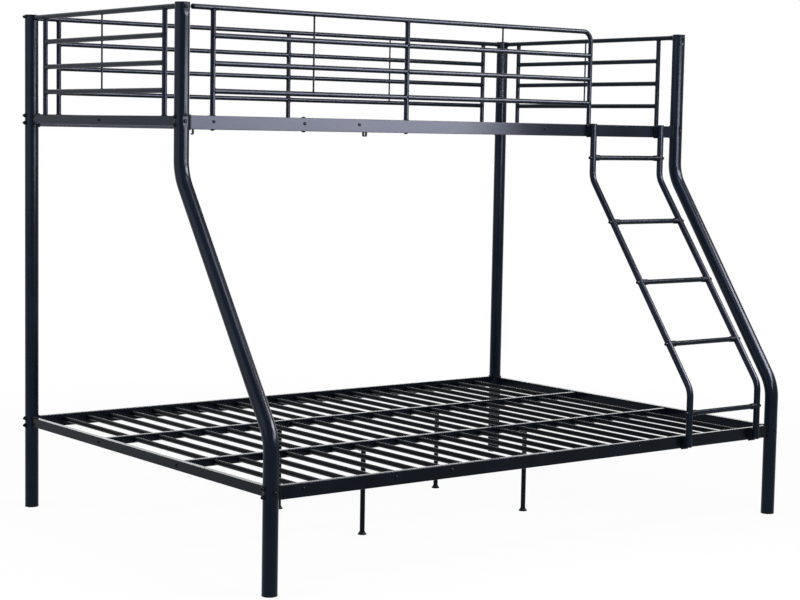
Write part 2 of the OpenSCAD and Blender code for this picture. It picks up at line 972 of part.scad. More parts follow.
module rear_guard_uprights()
{
    color([0.24, 0.26, 0.3])
        placed()
            for (x = rear_uprights)
                upright([x, 0], upper_rail_top, long_rail_h, "long");
}

module rear_guard_bars()
{
    color([0.26, 0.28, 0.32])
        placed()
            difference()
            {
                for (z = guard_levels)
                    run_bar([guard_inset, 0, z], "right", guard_r, post_spacing - 2 * guard_inset);
                upright_cutters([for (x = rear_uprights) [x, 0]]);
            }
}

module rear_guard_rods()
{
    color([0.26, 0.28, 0.32])
        placed()
            rods([for (x = rear_rods) [x, 0]], "long");
}

module end_guard_top(x)
{
    l = upper_depth - 2 * guard_start;
    difference()
    {
        run_bar([x, -guard_start, guard_z], "front", guard_r, l);
        run_bar([x, -guard_start + over, guard_z - guard_bolt_shift], "front", guard_hole,
            bolt_bite + over);
        run_bar([x, mid_y + guard_start - over, guard_z - guard_bolt_shift], "rear", guard_hole,
            bolt_bite + over);
    }
}

module end_guard_bars(x)
{
    difference()
    {
        for (z = guard_levels)
            run_bar([x, -guard_inset, z], "front", guard_r, upper_depth - 2 * guard_inset);
        upright_cutters([for (y = end_uprights) [x, y]]);
    }
}

module left_guard_top()
{
    color([0.22, 0.24, 0.28])
        placed()
            end_guard_top(0);
}

module left_guard_uprights()
{
    color([0.2, 0.22, 0.26])
        placed()
            for (y = end_uprights)
                upright([0, y], upper_end_top, 0, "end");
}

module left_guard_bars()
{
    color([0.22, 0.24, 0.28])
        placed()
            end_guard_bars(0);
}

module left_guard_rod()
{
    color([0.22, 0.24, 0.28])
        placed()
            rods([[0, upper_bars[0]]], "end");
}

module right_guard_top()
{
    color([0.22, 0.24, 0.28])
        placed()
            end_guard_top(post_spacing);
}

module right_guard_uprights()
{
    color([0.2, 0.22, 0.26])
        placed()
            for (y = end_uprights)
                upright([post_spacing, y], upper_end_top, 0, "end");
}

module right_guard_bars()
{
    color([0.22, 0.24, 0.28])
        placed()
            end_guard_bars(post_spacing);
}

module right_guard_rod()
{
    color([0.22, 0.24, 0.28])
        placed()
            rods([[post_spacing, upper_bars[0]]], "end");
}

module ladder_left_stile()
{
    color([0.25, 0.27, 0.32])
        placed()
            stile(ladder_x[0]);
}

module ladder_right_stile()
{
    color([0.25, 0.27, 0.32])
        placed()
            stile(ladder_x[1]);
}

module stile_plugs()
{
    color([0.05, 0.05, 0.06])
        placed()
            for (x = ladder_x)
            {
                translate([x, stile_top_y, stile_top - stile_plug_rim])
                    cylinder(r = stile_r, h = stile_plug_rim);
                translate([x, stile_top_y, stile_top - stile_plug_rim - collar_l / 2])
                    cylinder(r = stile_r - stile_wall - fit_gap, h = collar_l / 2);
                translate([x, stile_low_y, stile_foot])
                    cylinder(r = stile_r, h = stile_plug_rim);
                translate([x, stile_low_y, stile_foot + stile_plug_rim])
                    cylinder(r = stile_r - stile_wall - fit_gap, h = collar_l / 2);
            }
}

module rung(z)
{
    difference()
    {
        run_bar([ladder_x[0], stile_y(z), z], "right", rung_r, ladder_w);
        run_bar([ladder_x[0] + stile_r + insert_l, stile_y(z), z], "right", rung_r - stile_wall,
            ladder_w - 2 * (stile_r + insert_l));
        run_bar([ladder_x[0], stile_y(z), z], "right", bolt_hole, stile_r + insert_l + over);
        run_bar([ladder_x[1], stile_y(z), z], "left", bolt_hole, stile_r + insert_l + over);
        for (x = ladder_x)
            translate([x, 0, 0])
                stile_cutter(z);
    }
}

module ladder_rungs()
{
    color([0.22, 0.23, 0.27])
        placed()
            for (z = rung_z)
                rung(z);
}

// A plastic sleeve round a rung's end, curved to its stile
module rung_collar(x, z, side)
{
    translate([x, 0, 0])
        difference()
        {
            translate([0, stile_y(z), z])
                facing(side)
                    cylinder(r = collar_r, h = stile_r + collar_l);
            translate([0, stile_y(z), z])
                facing(side)
                    translate([0, 0, -over])
                        cylinder(r = rung_r + fit_gap, h = stile_r + collar_l + 2 * over);
            stile_cutter(z);
        }
}

module rung_collars()
{
    color([0.05, 0.05, 0.06])
        placed()
            for (z = rung_z)
            {
                rung_collar(ladder_x[0], z, "right");
                rung_collar(ladder_x[1], z, "left");
            }
}

// A bolt through a stile into a rung's end, with its head cut to the stile's round
module rung_bolt(x, z, side)
{
    translate([x, 0, 0])
    {
        difference()
        {
            translate([0, stile_y(z), z])
                facing(side)
                    cylinder(r = rung_head_d / 2, h = stile_r + rung_head_h);
            stile_cutter(z);
            translate([0, stile_y(z), z])
                facing(other(side))
                    translate([0, 0, -bolt_r])
                        cylinder(r = rung_head_d / 2 + fit_gap, h = stile_d);
        }
        translate([0, stile_y(z), z])
            facing(side)
                translate([0, 0, -stile_r - bolt_bite])
                    cylinder(r = bolt_r, h = stile_d + bolt_bite + head_h / 2);
    }
}

module rung_bolts()
{
    color([0.1, 0.1, 0.11])
        placed()
            for (z = rung_z)
            {
                rung_bolt(ladder_x[0], z, "left");
                rung_bolt(ladder_x[1], z, "right");
            }
}

// A plate on a front rail with a block that is curved to the stile
module ladder_bracket(x, y, rail_foot, rail_top, line, stile_place)
{
    face_y = y - long_rail_t / 2;
    difference()
    {
        union()
        {
            translate([x - bracket_w / 2, face_y - bracket_t, rail_foot - bracket_reach])
                cube([bracket_w, bracket_t, rail_top - rail_foot + bracket_reach - bracket_drop]);
            translate([x - bracket_block_w / 2, stile_place, rail_foot + stile_lift])
                cube([bracket_block_w, face_y - stile_place,
                    rail_top - rail_foot - stile_lift - bracket_drop]);
        }
        translate([x, stile_place, rail_foot - over])
            cylinder(r = stile_r + weld_gap, h = rail_top - rail_foot + 2 * over);
        run_bar([x, y, line], "front", bolt_hole, stile_offset);
    }
}

module ladder_brackets()
{
    color([0.08, 0.08, 0.09])
        placed()
            for (x = ladder_x)
            {
                ladder_bracket(x, mid_y, upper_rail_foot, upper_rail_top, upper_line, stile_top_y);
                ladder_bracket(x, front_y, lower_rail_foot, lower_rail_foot + long_rail_h, lower_line,
                    stile_low_y);
            }
}

module ladder_bolts()
{
    l = long_rail_t + ladder_gap + stile_r;
    color([0.1, 0.1, 0.11])
        placed()
            for (x = ladder_x)
                for (place = [[mid_y, upper_line], [front_y, lower_line]])
                    translate([x, place[0] + long_rail_t / 2, place[1]])
                        facing("rear")
                            bolt(bolt_r, l, low_head_h);
}

// Spacers between posts and long rails
module rail_saddles()
{
    shifts = [long_rail_drop - bolt_pair / 2, long_rail_drop + bolt_pair / 2];
    w = long_rail_t + 2 * saddle_edge;
    h = long_rail_h + 2 * saddle_edge;
    color([0.1, 0.1, 0.11])
        placed()
            for (place = [[0, upper_line], [mid_y, upper_line], [0, lower_line], [front_y, lower_line]])
            {
                translate([0, place[0], place[1] - long_rail_drop])
                    saddle("right", saddle_t, w, h, bolt_hole, shifts);
                translate([post_spacing, place[0], place[1] - long_rail_drop])
                    saddle("left", saddle_t, w, h, bolt_hole, shifts);
            }
}

// Spacers between posts and end rails
module end_saddles()
{
    w = end_rail_t + 2 * saddle_edge;
    h = end_rail_h + 2 * saddle_edge;
    color([0.1, 0.1, 0.11])
        placed()
            for (x = [0, post_spacing])
            {
                for (line = [upper_line, lower_line])
                    translate([x, 0, line])
                        saddle("front", saddle_t, w, h, bolt_hole, [0]);
                for (place = [[mid_y, upper_line], [front_y, lower_line]])
                    translate([x, place[0], place[1]])
                        saddle("rear", saddle_t, w, h, bolt_hole, [0]);
            }
}

// The side opposite to a side
function other(side) = side == "left" ? "right"
    : side == "right" ? "left"
    : side == "front" ? "rear"
    : "front";

module guard_saddles()
{
    color([0.1, 0.1, 0.11])
        placed()
            for (e = guard_ends)
                translate([e[0], e[1], guard_z])
                    saddle(e[2], guard_saddle_t, guard_d, guard_d, guard_hole, [e[3]]);
}

module post_bolts()
{
    color([0.1, 0.1, 0.11])
        placed()
            for (e = rail_ends)
                translate([e[0], e[1], e[2]])
                    facing(e[3])
                        translate([0, 0, seat_out(e[4])])
                            bolt(bolt_r, seat_out(e[4]) + rail_start + bolt_bite, head_tall(e[4]));
}

module guard_bolts()
{
    color([0.1, 0.1, 0.11])
        placed()
            for (e = guard_ends)
                translate([e[0], e[1], guard_z + e[3]])
                    facing(other(e[2]))
                        translate([0, 0, seat_out(e[4])])
                            bolt(guard_bolt_r, seat_out(e[4]) + guard_start + bolt_bite - over,
                                head_tall(e[4]));
}

module post_washers()
{
    small = 2 * (guard_drop - cap_rim - guard_bolt_shift);
    color([0.08, 0.08, 0.09])
        placed()
        {
            for (e = rail_ends)
                washer([e[0], e[1], e[2]], e[3], e[4], washer_w, bolt_hole);
            for (e = guard_ends)
                washer([e[0], e[1], guard_z + e[3]], other(e[2]), e[4], small, guard_hole);
        }
}

// Bolts across the rails: upright spigots, ladder holes, braces and bars
module rail_bolts()
{
    through = long_rail_t + low_head_h;
    face = long_rail_t / 2;
    end_face = end_rail_t / 2;
    color([0.1, 0.1, 0.11])
        placed()
        {
            for (x = [first_hole, second_hole])
                for (place = [[mid_y, upper_line], [front_y, lower_line]])
                    translate([x, place[0] - face, place[1]])
                        facing("front")
                            bolt(bolt_r, through, low_head_h);
            for (x = [guard_inset, post_spacing - guard_inset])
                for (line = [upper_line, lower_line])
                    translate([x, face, line])
                        facing("rear")
                            bolt(bolt_r, through, low_head_h);
            for (x = brace_x)
            {
                for (place = [[mid_y, upper_line], [front_y, lower_line]])
                    translate([x, place[0] - face, place[1]])
                        facing("front")
                            bolt(bolt_r, long_rail_t + bolt_bite, low_head_h);
                for (line = [upper_line, lower_line])
                    translate([x, face, line])
                        facing("rear")
                            bolt(bolt_r, long_rail_t + bolt_bite, low_head_h);
            }
            for (end = [["left", 0], ["right", post_spacing]])
                for (place = [[upper_bars[0], upper_line], [lower_bars[0], lower_line],
                        [lower_bars[1], lower_line]])
                    translate([end[1], place[0], place[1]])
                        facing(end[0])
                            translate([0, 0, end_face])
                                bolt(bolt_r, end_rail_t + bolt_bite, low_head_h);
        }
}

// A round nut against a face, open for its bolt
module nut(at, side)
{
    translate(at)
        facing(side)
            difference()
            {
                cylinder(r = head_r, h = low_head_h);
                translate([0, 0, -over])
                    cylinder(r = bolt_r + fit_gap, h = low_head_h + 2 * over);
            }
}

module rail_nuts()
{
    face = long_rail_t / 2;
    color([0.1, 0.1, 0.11])
        placed()
        {
            for (x = [first_hole, second_hole])
                for (place = [[mid_y, upper_line], [front_y, lower_line]])
                    nut([x, place[0] + face, place[1]], "rear");
            for (x = [guard_inset, post_spacing - guard_inset])
                for (line = [upper_line, lower_line])
                    nut([x, -face, line], "front");
        }
}

// A small hook that hangs under a rail's end, with its lip towards the post
module hook(x, y, z, drop)
{
    translate([x, y - hook_w / 2, z - drop])
    {
        translate([-hook_t, 0, 0])
            cube([hook_t, hook_w, drop]);
        translate([-hook_t - hook_lip, 0, 0])
            cube([hook_lip, hook_w, hook_t]);
    }
}

// A strap that hangs in a loop under a rail
module strap(x, y, z)
{
    translate([x, y - hook_w / 2, z - strap_drop])
        difference()
        {
            cube([strap_w, hook_w, strap_drop]);
            translate([hook_t, -over, hook_t])
                cube([strap_w - 2 * hook_t, hook_w + 2 * over, strap_drop]);
        }
}

module rail_hooks()
{
    color([0.1, 0.1, 0.11])
        placed()
        {
            hook(rail_start + hook_shift, mid_y, upper_rail_foot, upper_hook_drop);
            strap(brace_x[0] + strap_shift, mid_y, upper_rail_foot);
        }
}

// Domes that close the upright holes of the upper front rail
module hole_domes()
{
    faces = concat([[second_hole, upper_rail_top, 0]],
        [for (x = concat([second_hole, guard_end_x], front_uprights)) [x, upper_rail_foot, 1]]);
    color([0.08, 0.08, 0.09])
        placed()
            for (f = faces)
                translate([f[0], mid_y, f[1]])
                    mirror([0, 0, f[2]])
                    {
                        cylinder(d = dome_d, h = dome_h);
                        translate([0, 0, -dome_h])
                            cylinder(r = spigot_r, h = dome_h);
                    }
}

rear_left_post();
rear_right_post();
front_left_post();
front_right_post();
post_caps();
post_feet();
upper_front_rail();
upper_rear_rail();
upper_left_rail();
upper_right_rail();
lower_front_rail();
lower_rear_rail();
lower_left_rail();
lower_right_rail();
upper_bar();
lower_bars_pair();
upper_rear_slats();
upper_front_slats();
lower_rear_slats();
lower_middle_slats();
lower_front_slats();
brace_inserts();
middle_legs();
leg_feet();
leg_screws();
front_guard_frame();
guard_plug();
front_guard_uprights();
front_guard_bars();
front_guard_rods();
rear_guard_top();
rear_guard_uprights();
rear_guard_bars();
rear_guard_rods();
left_guard_top();
left_guard_uprights();
left_guard_bars();
left_guard_rod();
right_guard_top();
right_guard_uprights();
right_guard_bars();
right_guard_rod();
ladder_left_stile();
ladder_right_stile();
stile_plugs();
ladder_rungs();
rung_collars();
rung_bolts();
ladder_brackets();
ladder_bolts();
rail_saddles();
end_saddles();
guard_saddles();
post_bolts();
guard_bolts();
post_washers();
rail_bolts();
rail_nuts();
rail_hooks();
hole_domes();
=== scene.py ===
import bmesh
import bpy
import json
import math
from mathutils import Matrix, Vector

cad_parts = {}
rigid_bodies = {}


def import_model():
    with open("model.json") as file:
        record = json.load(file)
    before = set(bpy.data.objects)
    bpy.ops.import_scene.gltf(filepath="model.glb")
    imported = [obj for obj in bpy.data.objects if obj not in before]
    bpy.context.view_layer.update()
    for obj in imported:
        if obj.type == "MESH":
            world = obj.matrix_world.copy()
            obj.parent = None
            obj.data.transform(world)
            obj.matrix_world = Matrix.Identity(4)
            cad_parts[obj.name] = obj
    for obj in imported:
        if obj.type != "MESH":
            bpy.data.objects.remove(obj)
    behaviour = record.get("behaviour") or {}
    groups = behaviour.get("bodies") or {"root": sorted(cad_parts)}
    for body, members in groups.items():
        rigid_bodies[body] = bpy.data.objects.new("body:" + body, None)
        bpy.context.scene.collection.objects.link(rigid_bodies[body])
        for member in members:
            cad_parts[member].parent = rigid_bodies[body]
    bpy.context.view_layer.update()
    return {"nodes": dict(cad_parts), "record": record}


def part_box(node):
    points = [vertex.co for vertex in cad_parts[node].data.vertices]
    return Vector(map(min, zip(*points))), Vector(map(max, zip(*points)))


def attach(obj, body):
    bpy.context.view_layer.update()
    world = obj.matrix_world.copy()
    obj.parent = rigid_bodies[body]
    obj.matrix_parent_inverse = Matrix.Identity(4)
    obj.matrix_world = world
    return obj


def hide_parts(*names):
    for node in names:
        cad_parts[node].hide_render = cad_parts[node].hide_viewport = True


for leftover in list(bpy.data.objects):  # the start-up cube, lamp and camera
    bpy.data.objects.remove(leftover)

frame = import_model()
nodes = frame["nodes"]
print("frame loaded:", len(nodes), "nodes")


# Camera: fitted to the photograph from the posts, rails and rungs
shot = {
    "place": (-3.80172, -4.87843, 1.28226),
    "yaw": 37.708,       # degrees from +Y towards +X
    "pitch": -5.215,
    "roll": 1.036,
    "lens": 82.82,       # mm, as the sensor
    "sensorWidth": 36.0,
    "farEnd": 60.0,      # metres
}
yaw, pitch, roll = (math.radians(shot[k]) for k in ("yaw", "pitch", "roll"))
ahead = Vector((math.sin(yaw) * math.cos(pitch), math.cos(yaw) * math.cos(pitch), math.sin(pitch)))
level = Vector((math.cos(yaw), -math.sin(yaw), 0.0))
above = level.cross(ahead)
right = math.cos(roll) * level + math.sin(roll) * above
up = math.cos(roll) * above - math.sin(roll) * level
camera = bpy.data.objects.new("photoCamera", bpy.data.cameras.new("photoCamera"))
camera.data.sensor_width = shot["sensorWidth"]
camera.data.lens = shot["lens"]
camera.data.clip_end = shot["farEnd"]
turned = Matrix((right, up, -ahead)).transposed().to_4x4()
camera.matrix_world = Matrix.Translation(shot["place"]) @ turned
bpy.context.scene.collection.objects.link(camera)
bpy.context.scene.camera = camera
print("camera placed")


# Finishes
def linearColour(text):
    channels = [int(text[i:i + 2], 16) / 255 for i in (1, 3, 5)]
    return tuple(c / 12.92 if c <= 0.04045 else ((c + 0.055) / 1.055) ** 2.4 for c in channels) + (1.0,)


def addNode(tree, kind, settings=None, **inputs):
    made = tree.nodes.new(kind)
    for key, value in (settings or {}).items():
        setattr(made, key, value)
    for key, value in inputs.items():
        name = key.replace("_", " ")
        socket = made.inputs[int(name[5:])] if name.startswith("input") else made.inputs[name]
        if isinstance(value, bpy.types.NodeSocket):
            tree.links.new(value, socket)
        else:
            socket.default_value = value
    return made


grain = {
    "broadDetail": 3.0, "broadRoughness": 0.55, "skinDetail": 2.0, "skinRoughness": 0.5,
    "tones": (0.35, 0.65),   # noise values at which the dark and the light tone are reached
    "gloss": (0.3, 0.7),     # the same for the roughness
    "bumpShare": 0.12,       # height of the skin's bumps as a share of their width
}


def coatedSurface(name, look):
    # Two near tones in broad patches, a fine skin of bumps, and gloss that varies a little
    material = bpy.data.materials.new(name)
    material.use_nodes = True
    tree = material.node_tree
    tree.nodes.clear()
    place = addNode(tree, "ShaderNodeTexCoord")
    broad = addNode(tree, "ShaderNodeTexNoise", Vector=place.outputs["Object"],
                    Scale=1000 / look["patchMm"], Detail=grain["broadDetail"],
                    Roughness=grain["broadRoughness"])
    skin = addNode(tree, "ShaderNodeTexNoise", Vector=place.outputs["Object"],
                   Scale=1000 / look["skinMm"], Detail=grain["skinDetail"],
                   Roughness=grain["skinRoughness"])
    tone = addNode(tree, "ShaderNodeValToRGB", Fac=broad.outputs["Fac"])
    for element, at, colour in zip(tone.color_ramp.elements, grain["tones"], ("dark", "light")):
        element.position = at
        element.color = linearColour(look[colour])
    gloss = addNode(tree, "ShaderNodeMapRange", Value=broad.outputs["Fac"],
                    From_Min=grain["gloss"][0], From_Max=grain["gloss"][1],
                    To_Min=look["roughness"] - look["roughnessSpread"],
                    To_Max=look["roughness"] + look["roughnessSpread"])
    bump = addNode(tree, "ShaderNodeBump", Height=skin.outputs["Fac"], Strength=look["bump"],
                   Distance=look["skinMm"] / 1000 * grain["bumpShare"])
    shader = addNode(tree, "ShaderNodeBsdfPrincipled", Base_Color=tone.outputs["Color"],
                     Roughness=gloss.outputs["Result"], Normal=bump.outputs["Normal"])
    shader.inputs["Metallic"].default_value = look["metallic"]
    shader.inputs["IOR"].default_value = look["ior"]
    shader.inputs["Specular IOR Level"].default_value = look["specular"]
    shader.inputs["Specular Tint"].default_value = linearColour(look.get("sheen", "#ffffff"))
    addNode(tree, "ShaderNodeOutputMaterial", Surface=shader.outputs["BSDF"])
    return material


coatLook = {
    "dark": "#08111b", "light": "#0d1824",
    "patchMm": 180, "skinMm": 4.0,      # real orange peel is about 1 mm, drawn coarser so that it shows
    "roughness": 0.21, "roughnessSpread": 0.02, "bump": 0.05,
    "metallic": 0.0, "ior": 1.5, "specular": 0.09, "sheen": "#e2e4ff",
}
finishes = {
    # Polyester powder coat baked on steel tube: satin near-black with a blue cast, faint orange peel
    "post": coatedSurface("satinPowderCoatPosts", coatLook),
    # The same coat on the flat rails, glossier, and painted a touch lighter: a painted sheen for the broad
    # light on flat faces
    "rail": coatedSurface("satinPowderCoatRailsPaintedSheen", {
        **coatLook, "dark": "#0a121d", "light": "#101a27", "specular": 0.108}),
    # The same coat on thin tubes, with a finer skin
    "tube": coatedSurface("satinPowderCoatTubes", {**coatLook, "skinMm": 3.0}),
    # On the slats, nearly black in the photograph, the coat is rougher and painted darker: painted shade for
    # the slats' shaded undersides
    "slat": coatedSurface("satinPowderCoatSlatsPaintedShade", {
        **coatLook, "dark": "#03050a", "light": "#05080d", "roughness": 0.3, "specular": 0.045,
        "sheen": "#e8eaff"}),
    # On the lower rails, bars and legs it is a little rougher than on the posts, and painted a little
    # darker: painted shade, as these low parts get less light
    "lowRail": coatedSurface("satinPowderCoatLowRailsPaintedShade", {
        **coatLook, "dark": "#070c12", "light": "#0b1219", "roughness": 0.24, "specular": 0.065}),
    # Moulded polyethylene: black, soft sheen, grained by the mould
    "plastic": coatedSurface("mouldedBlackPolyethylene", {
        "dark": "#04070a", "light": "#070a0e", "patchMm": 25, "skinMm": 0.9, "roughness": 0.42,
        "roughnessSpread": 0.05, "bump": 0.1, "metallic": 0.0, "ior": 1.5, "specular": 0.07,
        "sheen": "#e2e4ff"}),
    # Black oxide on steel screws: near-black with a dull shine
    "screw": coatedSurface("blackOxideScrews", {
        "dark": "#05070b", "light": "#090c11", "patchMm": 6, "skinMm": 0.7, "roughness": 0.28,
        "roughnessSpread": 0.05, "bump": 0.06, "metallic": 0.0, "ior": 1.5, "specular": 0.08,
        "sheen": "#dcdeff"}),
    # Bright zinc plate on the screws, nuts and inserts that sit out of sight
    "zinc": coatedSurface("brightZincPlate", {
        "dark": "#8e9094", "light": "#a6a8ac", "patchMm": 5, "skinMm": 0.8, "roughness": 0.32,
        "roughnessSpread": 0.08, "bump": 0.2, "metallic": 1.0, "ior": 1.5, "specular": 0.5}),
}
print("finishes made")


# Shared ways of making pieces
def finishPiece(name, mesh, finish, replaced=(), sharpAngle=35):
    mesh.materials.clear()
    mesh.materials.append(finishes[finish])
    mesh.shade_smooth()
    mesh.set_sharp_from_angle(angle=math.radians(sharpAngle))
    piece = bpy.data.objects.new(name, mesh)
    bpy.context.scene.collection.objects.link(piece)
    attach(piece, "root")
    if replaced:
        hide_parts(*replaced)
    return piece


def wrapRings(shape, low, high):
    # Faces between two rings; a ring of one point closes like a cone
    count = max(len(low), len(high))
    for i in range(count):
        j = (i + 1) % count
        if len(low) == 1:
            shape.faces.new((low[0], high[i], high[j]))
        elif len(high) == 1:
            shape.faces.new((low[i], low[j], high[0]))
        else:
            shape.faces.new((low[i], low[j], high[j], high[i]))


def meshOf(name, shape):
    # The finished mesh with its faces outwards
    bmesh.ops.recalc_face_normals(shape, faces=shape.faces)
    mesh = bpy.data.meshes.new(name)
    shape.to_mesh(mesh)
    shape.free()
    return mesh


def cornersOf(verts):
    low = Vector([min(v.co[k] for v in verts) for k in range(3)])
    high = Vector([max(v.co[k] for v in verts) for k in range(3)])
    return low, high


def islandsOf(mesh):
    # Groups of joined vertices, one for each solid of a node
    shape = bmesh.new()
    shape.from_mesh(mesh)
    bmesh.ops.remove_doubles(shape, verts=shape.verts, dist=1e-6)
    seen, groups = set(), []
    for first in shape.verts:
        if first in seen:
            continue
        seen.add(first)
        waiting, group = [first], []
        while waiting:
            vert = waiting.pop()
            group.append(vert)
            for edge in vert.link_edges:
                other = edge.other_vert(vert)
                if other not in seen:
                    seen.add(other)
                    waiting.append(other)
        groups.append(group)
    return shape, groups


def turnedMesh(name, profile, places, segments):
    # A closed profile of (radius, height) turned round +Z and put at each place
    shape = bmesh.new()
    for place in places:
        rings = []
        for radius, height in profile:
            if radius == 0.0:
                rings.append([shape.verts.new(Vector(place) + Vector((0, 0, height)))])
                continue
            ring = []
            for i in range(segments):
                angle = 2 * math.pi * i / segments
                offset = Vector((radius * math.cos(angle), radius * math.sin(angle), height))
                ring.append(shape.verts.new(Vector(place) + offset))
            rings.append(ring)
        for low, high in zip(rings, rings[1:]):
            wrapRings(shape, low, high)
    return meshOf(name, shape)


def turnedBothWays(name, profile, upPlaces, downPlaces, segments):
    # One mesh of the same turned form, upright at some places and upside down at others
    shape = bmesh.new()
    shape.from_mesh(turnedMesh(name + "Up", profile, upPlaces, segments))
    shape.from_mesh(turnedMesh(name + "Down", [(r, -z) for r, z in profile], downPlaces, segments))
    return meshOf(name, shape)


def repeatTree(name, templateNames):
    # Puts each template on every point, turned and sized by the point's own values
    tree = bpy.data.node_groups.new(name, "GeometryNodeTree")
    ports = tree.interface
    ports.new_socket(name="Geometry", in_out="INPUT", socket_type="NodeSocketGeometry")
    for template in templateNames:
        ports.new_socket(name=template, in_out="INPUT", socket_type="NodeSocketObject")
    ports.new_socket(name="Overall size", in_out="INPUT", socket_type="NodeSocketFloat")
    ports.new_socket(name="Finish", in_out="INPUT", socket_type="NodeSocketMaterial")
    ports.new_socket(name="Geometry", in_out="OUTPUT", socket_type="NodeSocketGeometry")
    start = addNode(tree, "NodeGroupInput")
    turn = addNode(tree, "GeometryNodeInputNamedAttribute", {"data_type": "FLOAT_VECTOR"}, Name="turn")
    rotation = addNode(tree, "FunctionNodeEulerToRotation", Euler=turn.outputs["Attribute"])
    joined = addNode(tree, "GeometryNodeJoinGeometry")
    for template in templateNames:
        size = addNode(tree, "GeometryNodeInputNamedAttribute", {"data_type": "FLOAT_VECTOR"},
                       Name=template + "Size")
        scaled = addNode(tree, "ShaderNodeVectorMath", {"operation": "SCALE"},
                         Vector=size.outputs["Attribute"], Scale=start.outputs["Overall size"])
        shown = addNode(tree, "GeometryNodeObjectInfo", Object=start.outputs[template])
        placed = addNode(tree, "GeometryNodeInstanceOnPoints", Points=start.outputs["Geometry"],
                         Instance=shown.outputs["Geometry"], Rotation=rotation.outputs["Rotation"],
                         Scale=scaled.outputs["Vector"])
        tree.links.new(placed.outputs["Instances"], joined.inputs["Geometry"])
    real = addNode(tree, "GeometryNodeRealizeInstances", Geometry=joined.outputs["Geometry"])
    dressed = addNode(tree, "GeometryNodeSetMaterial", Geometry=real.outputs["Geometry"],
                      Material=start.outputs["Finish"])
    addNode(tree, "NodeGroupOutput", Geometry=dressed.outputs["Geometry"])
    return tree


def repeatPiece(name, tree, places, templates, finish, replaced=(), sharpAngle=35):
    # places: (point, turn as a matrix, {template: (x, y, z) size})
    base = bpy.data.meshes.new(name + "Places")
    base.from_pydata([tuple(p[0]) for p in places], [], [])
    turns = base.attributes.new("turn", "FLOAT_VECTOR", "POINT")
    turns.data.foreach_set("vector", [v for p in places for v in p[1].to_euler("XYZ")])
    for template in templates:
        sizes = base.attributes.new(template + "Size", "FLOAT_VECTOR", "POINT")
        sizes.data.foreach_set("vector", [v for p in places for v in p[2][template]])
    holder = bpy.data.objects.new(name + "Holder", base)
    bpy.context.scene.collection.objects.link(holder)
    repeat = holder.modifiers.new("repeat", "NODES")
    repeat.node_group = tree
    sockets = {s.name: s.identifier for s in tree.interface.items_tree if s.in_out == "INPUT"}
    for template, source in templates.items():
        repeat[sockets[template]] = source
    repeat[sockets["Overall size"]] = 1.0
    repeat[sockets["Finish"]] = finishes[finish]
    bpy.context.view_layer.update()
    ready = holder.evaluated_get(bpy.context.evaluated_depsgraph_get())
    mesh = bpy.data.meshes.new_from_object(ready)
    mesh.name = name
    holder.modifiers.remove(repeat)
    bpy.data.objects.remove(holder)
    return finishPiece(name, mesh, finish, replaced, sharpAngle)


templatesInUse = []


def templateObject(name, mesh):
    made = bpy.data.objects.new(name, mesh)
    bpy.context.scene.collection.objects.link(made)
    templatesInUse.append(made)
    return made


# Box tubes, spacers and washers: copies of the CAD solids with rounded corners
roundedPieces = {
    # node: (corner radius in metres, finish)
    # The upper rails and bar take the finish painted lighter as sheen
    "upper_front_rail": (0.0022, "rail"), "upper_rear_rail": (0.0022, "rail"),
    # The lower rails and bars take the finish painted darker as shade
    "lower_front_rail": (0.0022, "lowRail"), "lower_rear_rail": (0.0022, "lowRail"),
    "upper_left_rail": (0.0020, "rail"), "upper_right_rail": (0.0020, "rail"),
    "lower_left_rail": (0.0020, "lowRail"), "lower_right_rail": (0.0020, "lowRail"),
    "upper_bar": (0.0018, "rail"), "lower_bars_pair": (0.0018, "lowRail"),
    "rail_saddles": (0.0022, "plastic"), "end_saddles": (0.0022, "plastic"),
    "post_washers": (0.0012, "plastic"), "ladder_brackets": (0.0010, "plastic"),
}
rounding = {
    "flatAngle": 0.4,    # degrees; flatter neighbours become one face
    "onBox": 2e-5,       # how near an edge lies to the solid's box to count as on it
    "shortest": 3.0,     # no shorter edge than this many corner radii is rounded
    "segments": 3,
    "sharpAngle": 40,    # degrees
}
recordSlots = {s["node"]: s["material_slot"] for s in frame["record"]["subparts"]}
corners = {  # axes of the posts
    "x": (-1.025, 1.025), "rearY": 0.72825, "upperFrontY": -0.23375, "lowerFrontY": -0.72175,
}
pressed = {
    # flats pressed into the front posts, where a bolt head faces the front
    "lines": ((1.3025, "upperFrontY"), (0.290, "lowerFrontY"), (1.6295, "upperFrontY")),
    "depth": 0.0014, "halfTall": 0.0240,
    "level": 0.5,            # share of that height that is flat, the rest slopes out
    "washerShrink": 0.7, "headGrow": 1.2, "headSink": 0.0018,
    "headAside": 0.015, "headBefore": (0.018, 0.045),  # where heads and washers are, from the post's axis
}


def facesFront(point):
    # True for a bolt head or washer on the front of a front post
    near, far = pressed["headBefore"]
    return any(abs(point.x - x) < pressed["headAside"] and near < corners[y] - point.y < far
               for x in corners["x"] for y in ("upperFrontY", "lowerFrontY"))


def shrinkFrontWashers(groups):
    for group in groups:
        middle = sum((v.co for v in group), Vector()) / len(group)
        if facesFront(middle):
            for v in group:
                v.co.x = middle.x + (v.co.x - middle.x) * pressed["washerShrink"]
                v.co.z = middle.z + (v.co.z - middle.z) * pressed["washerShrink"]


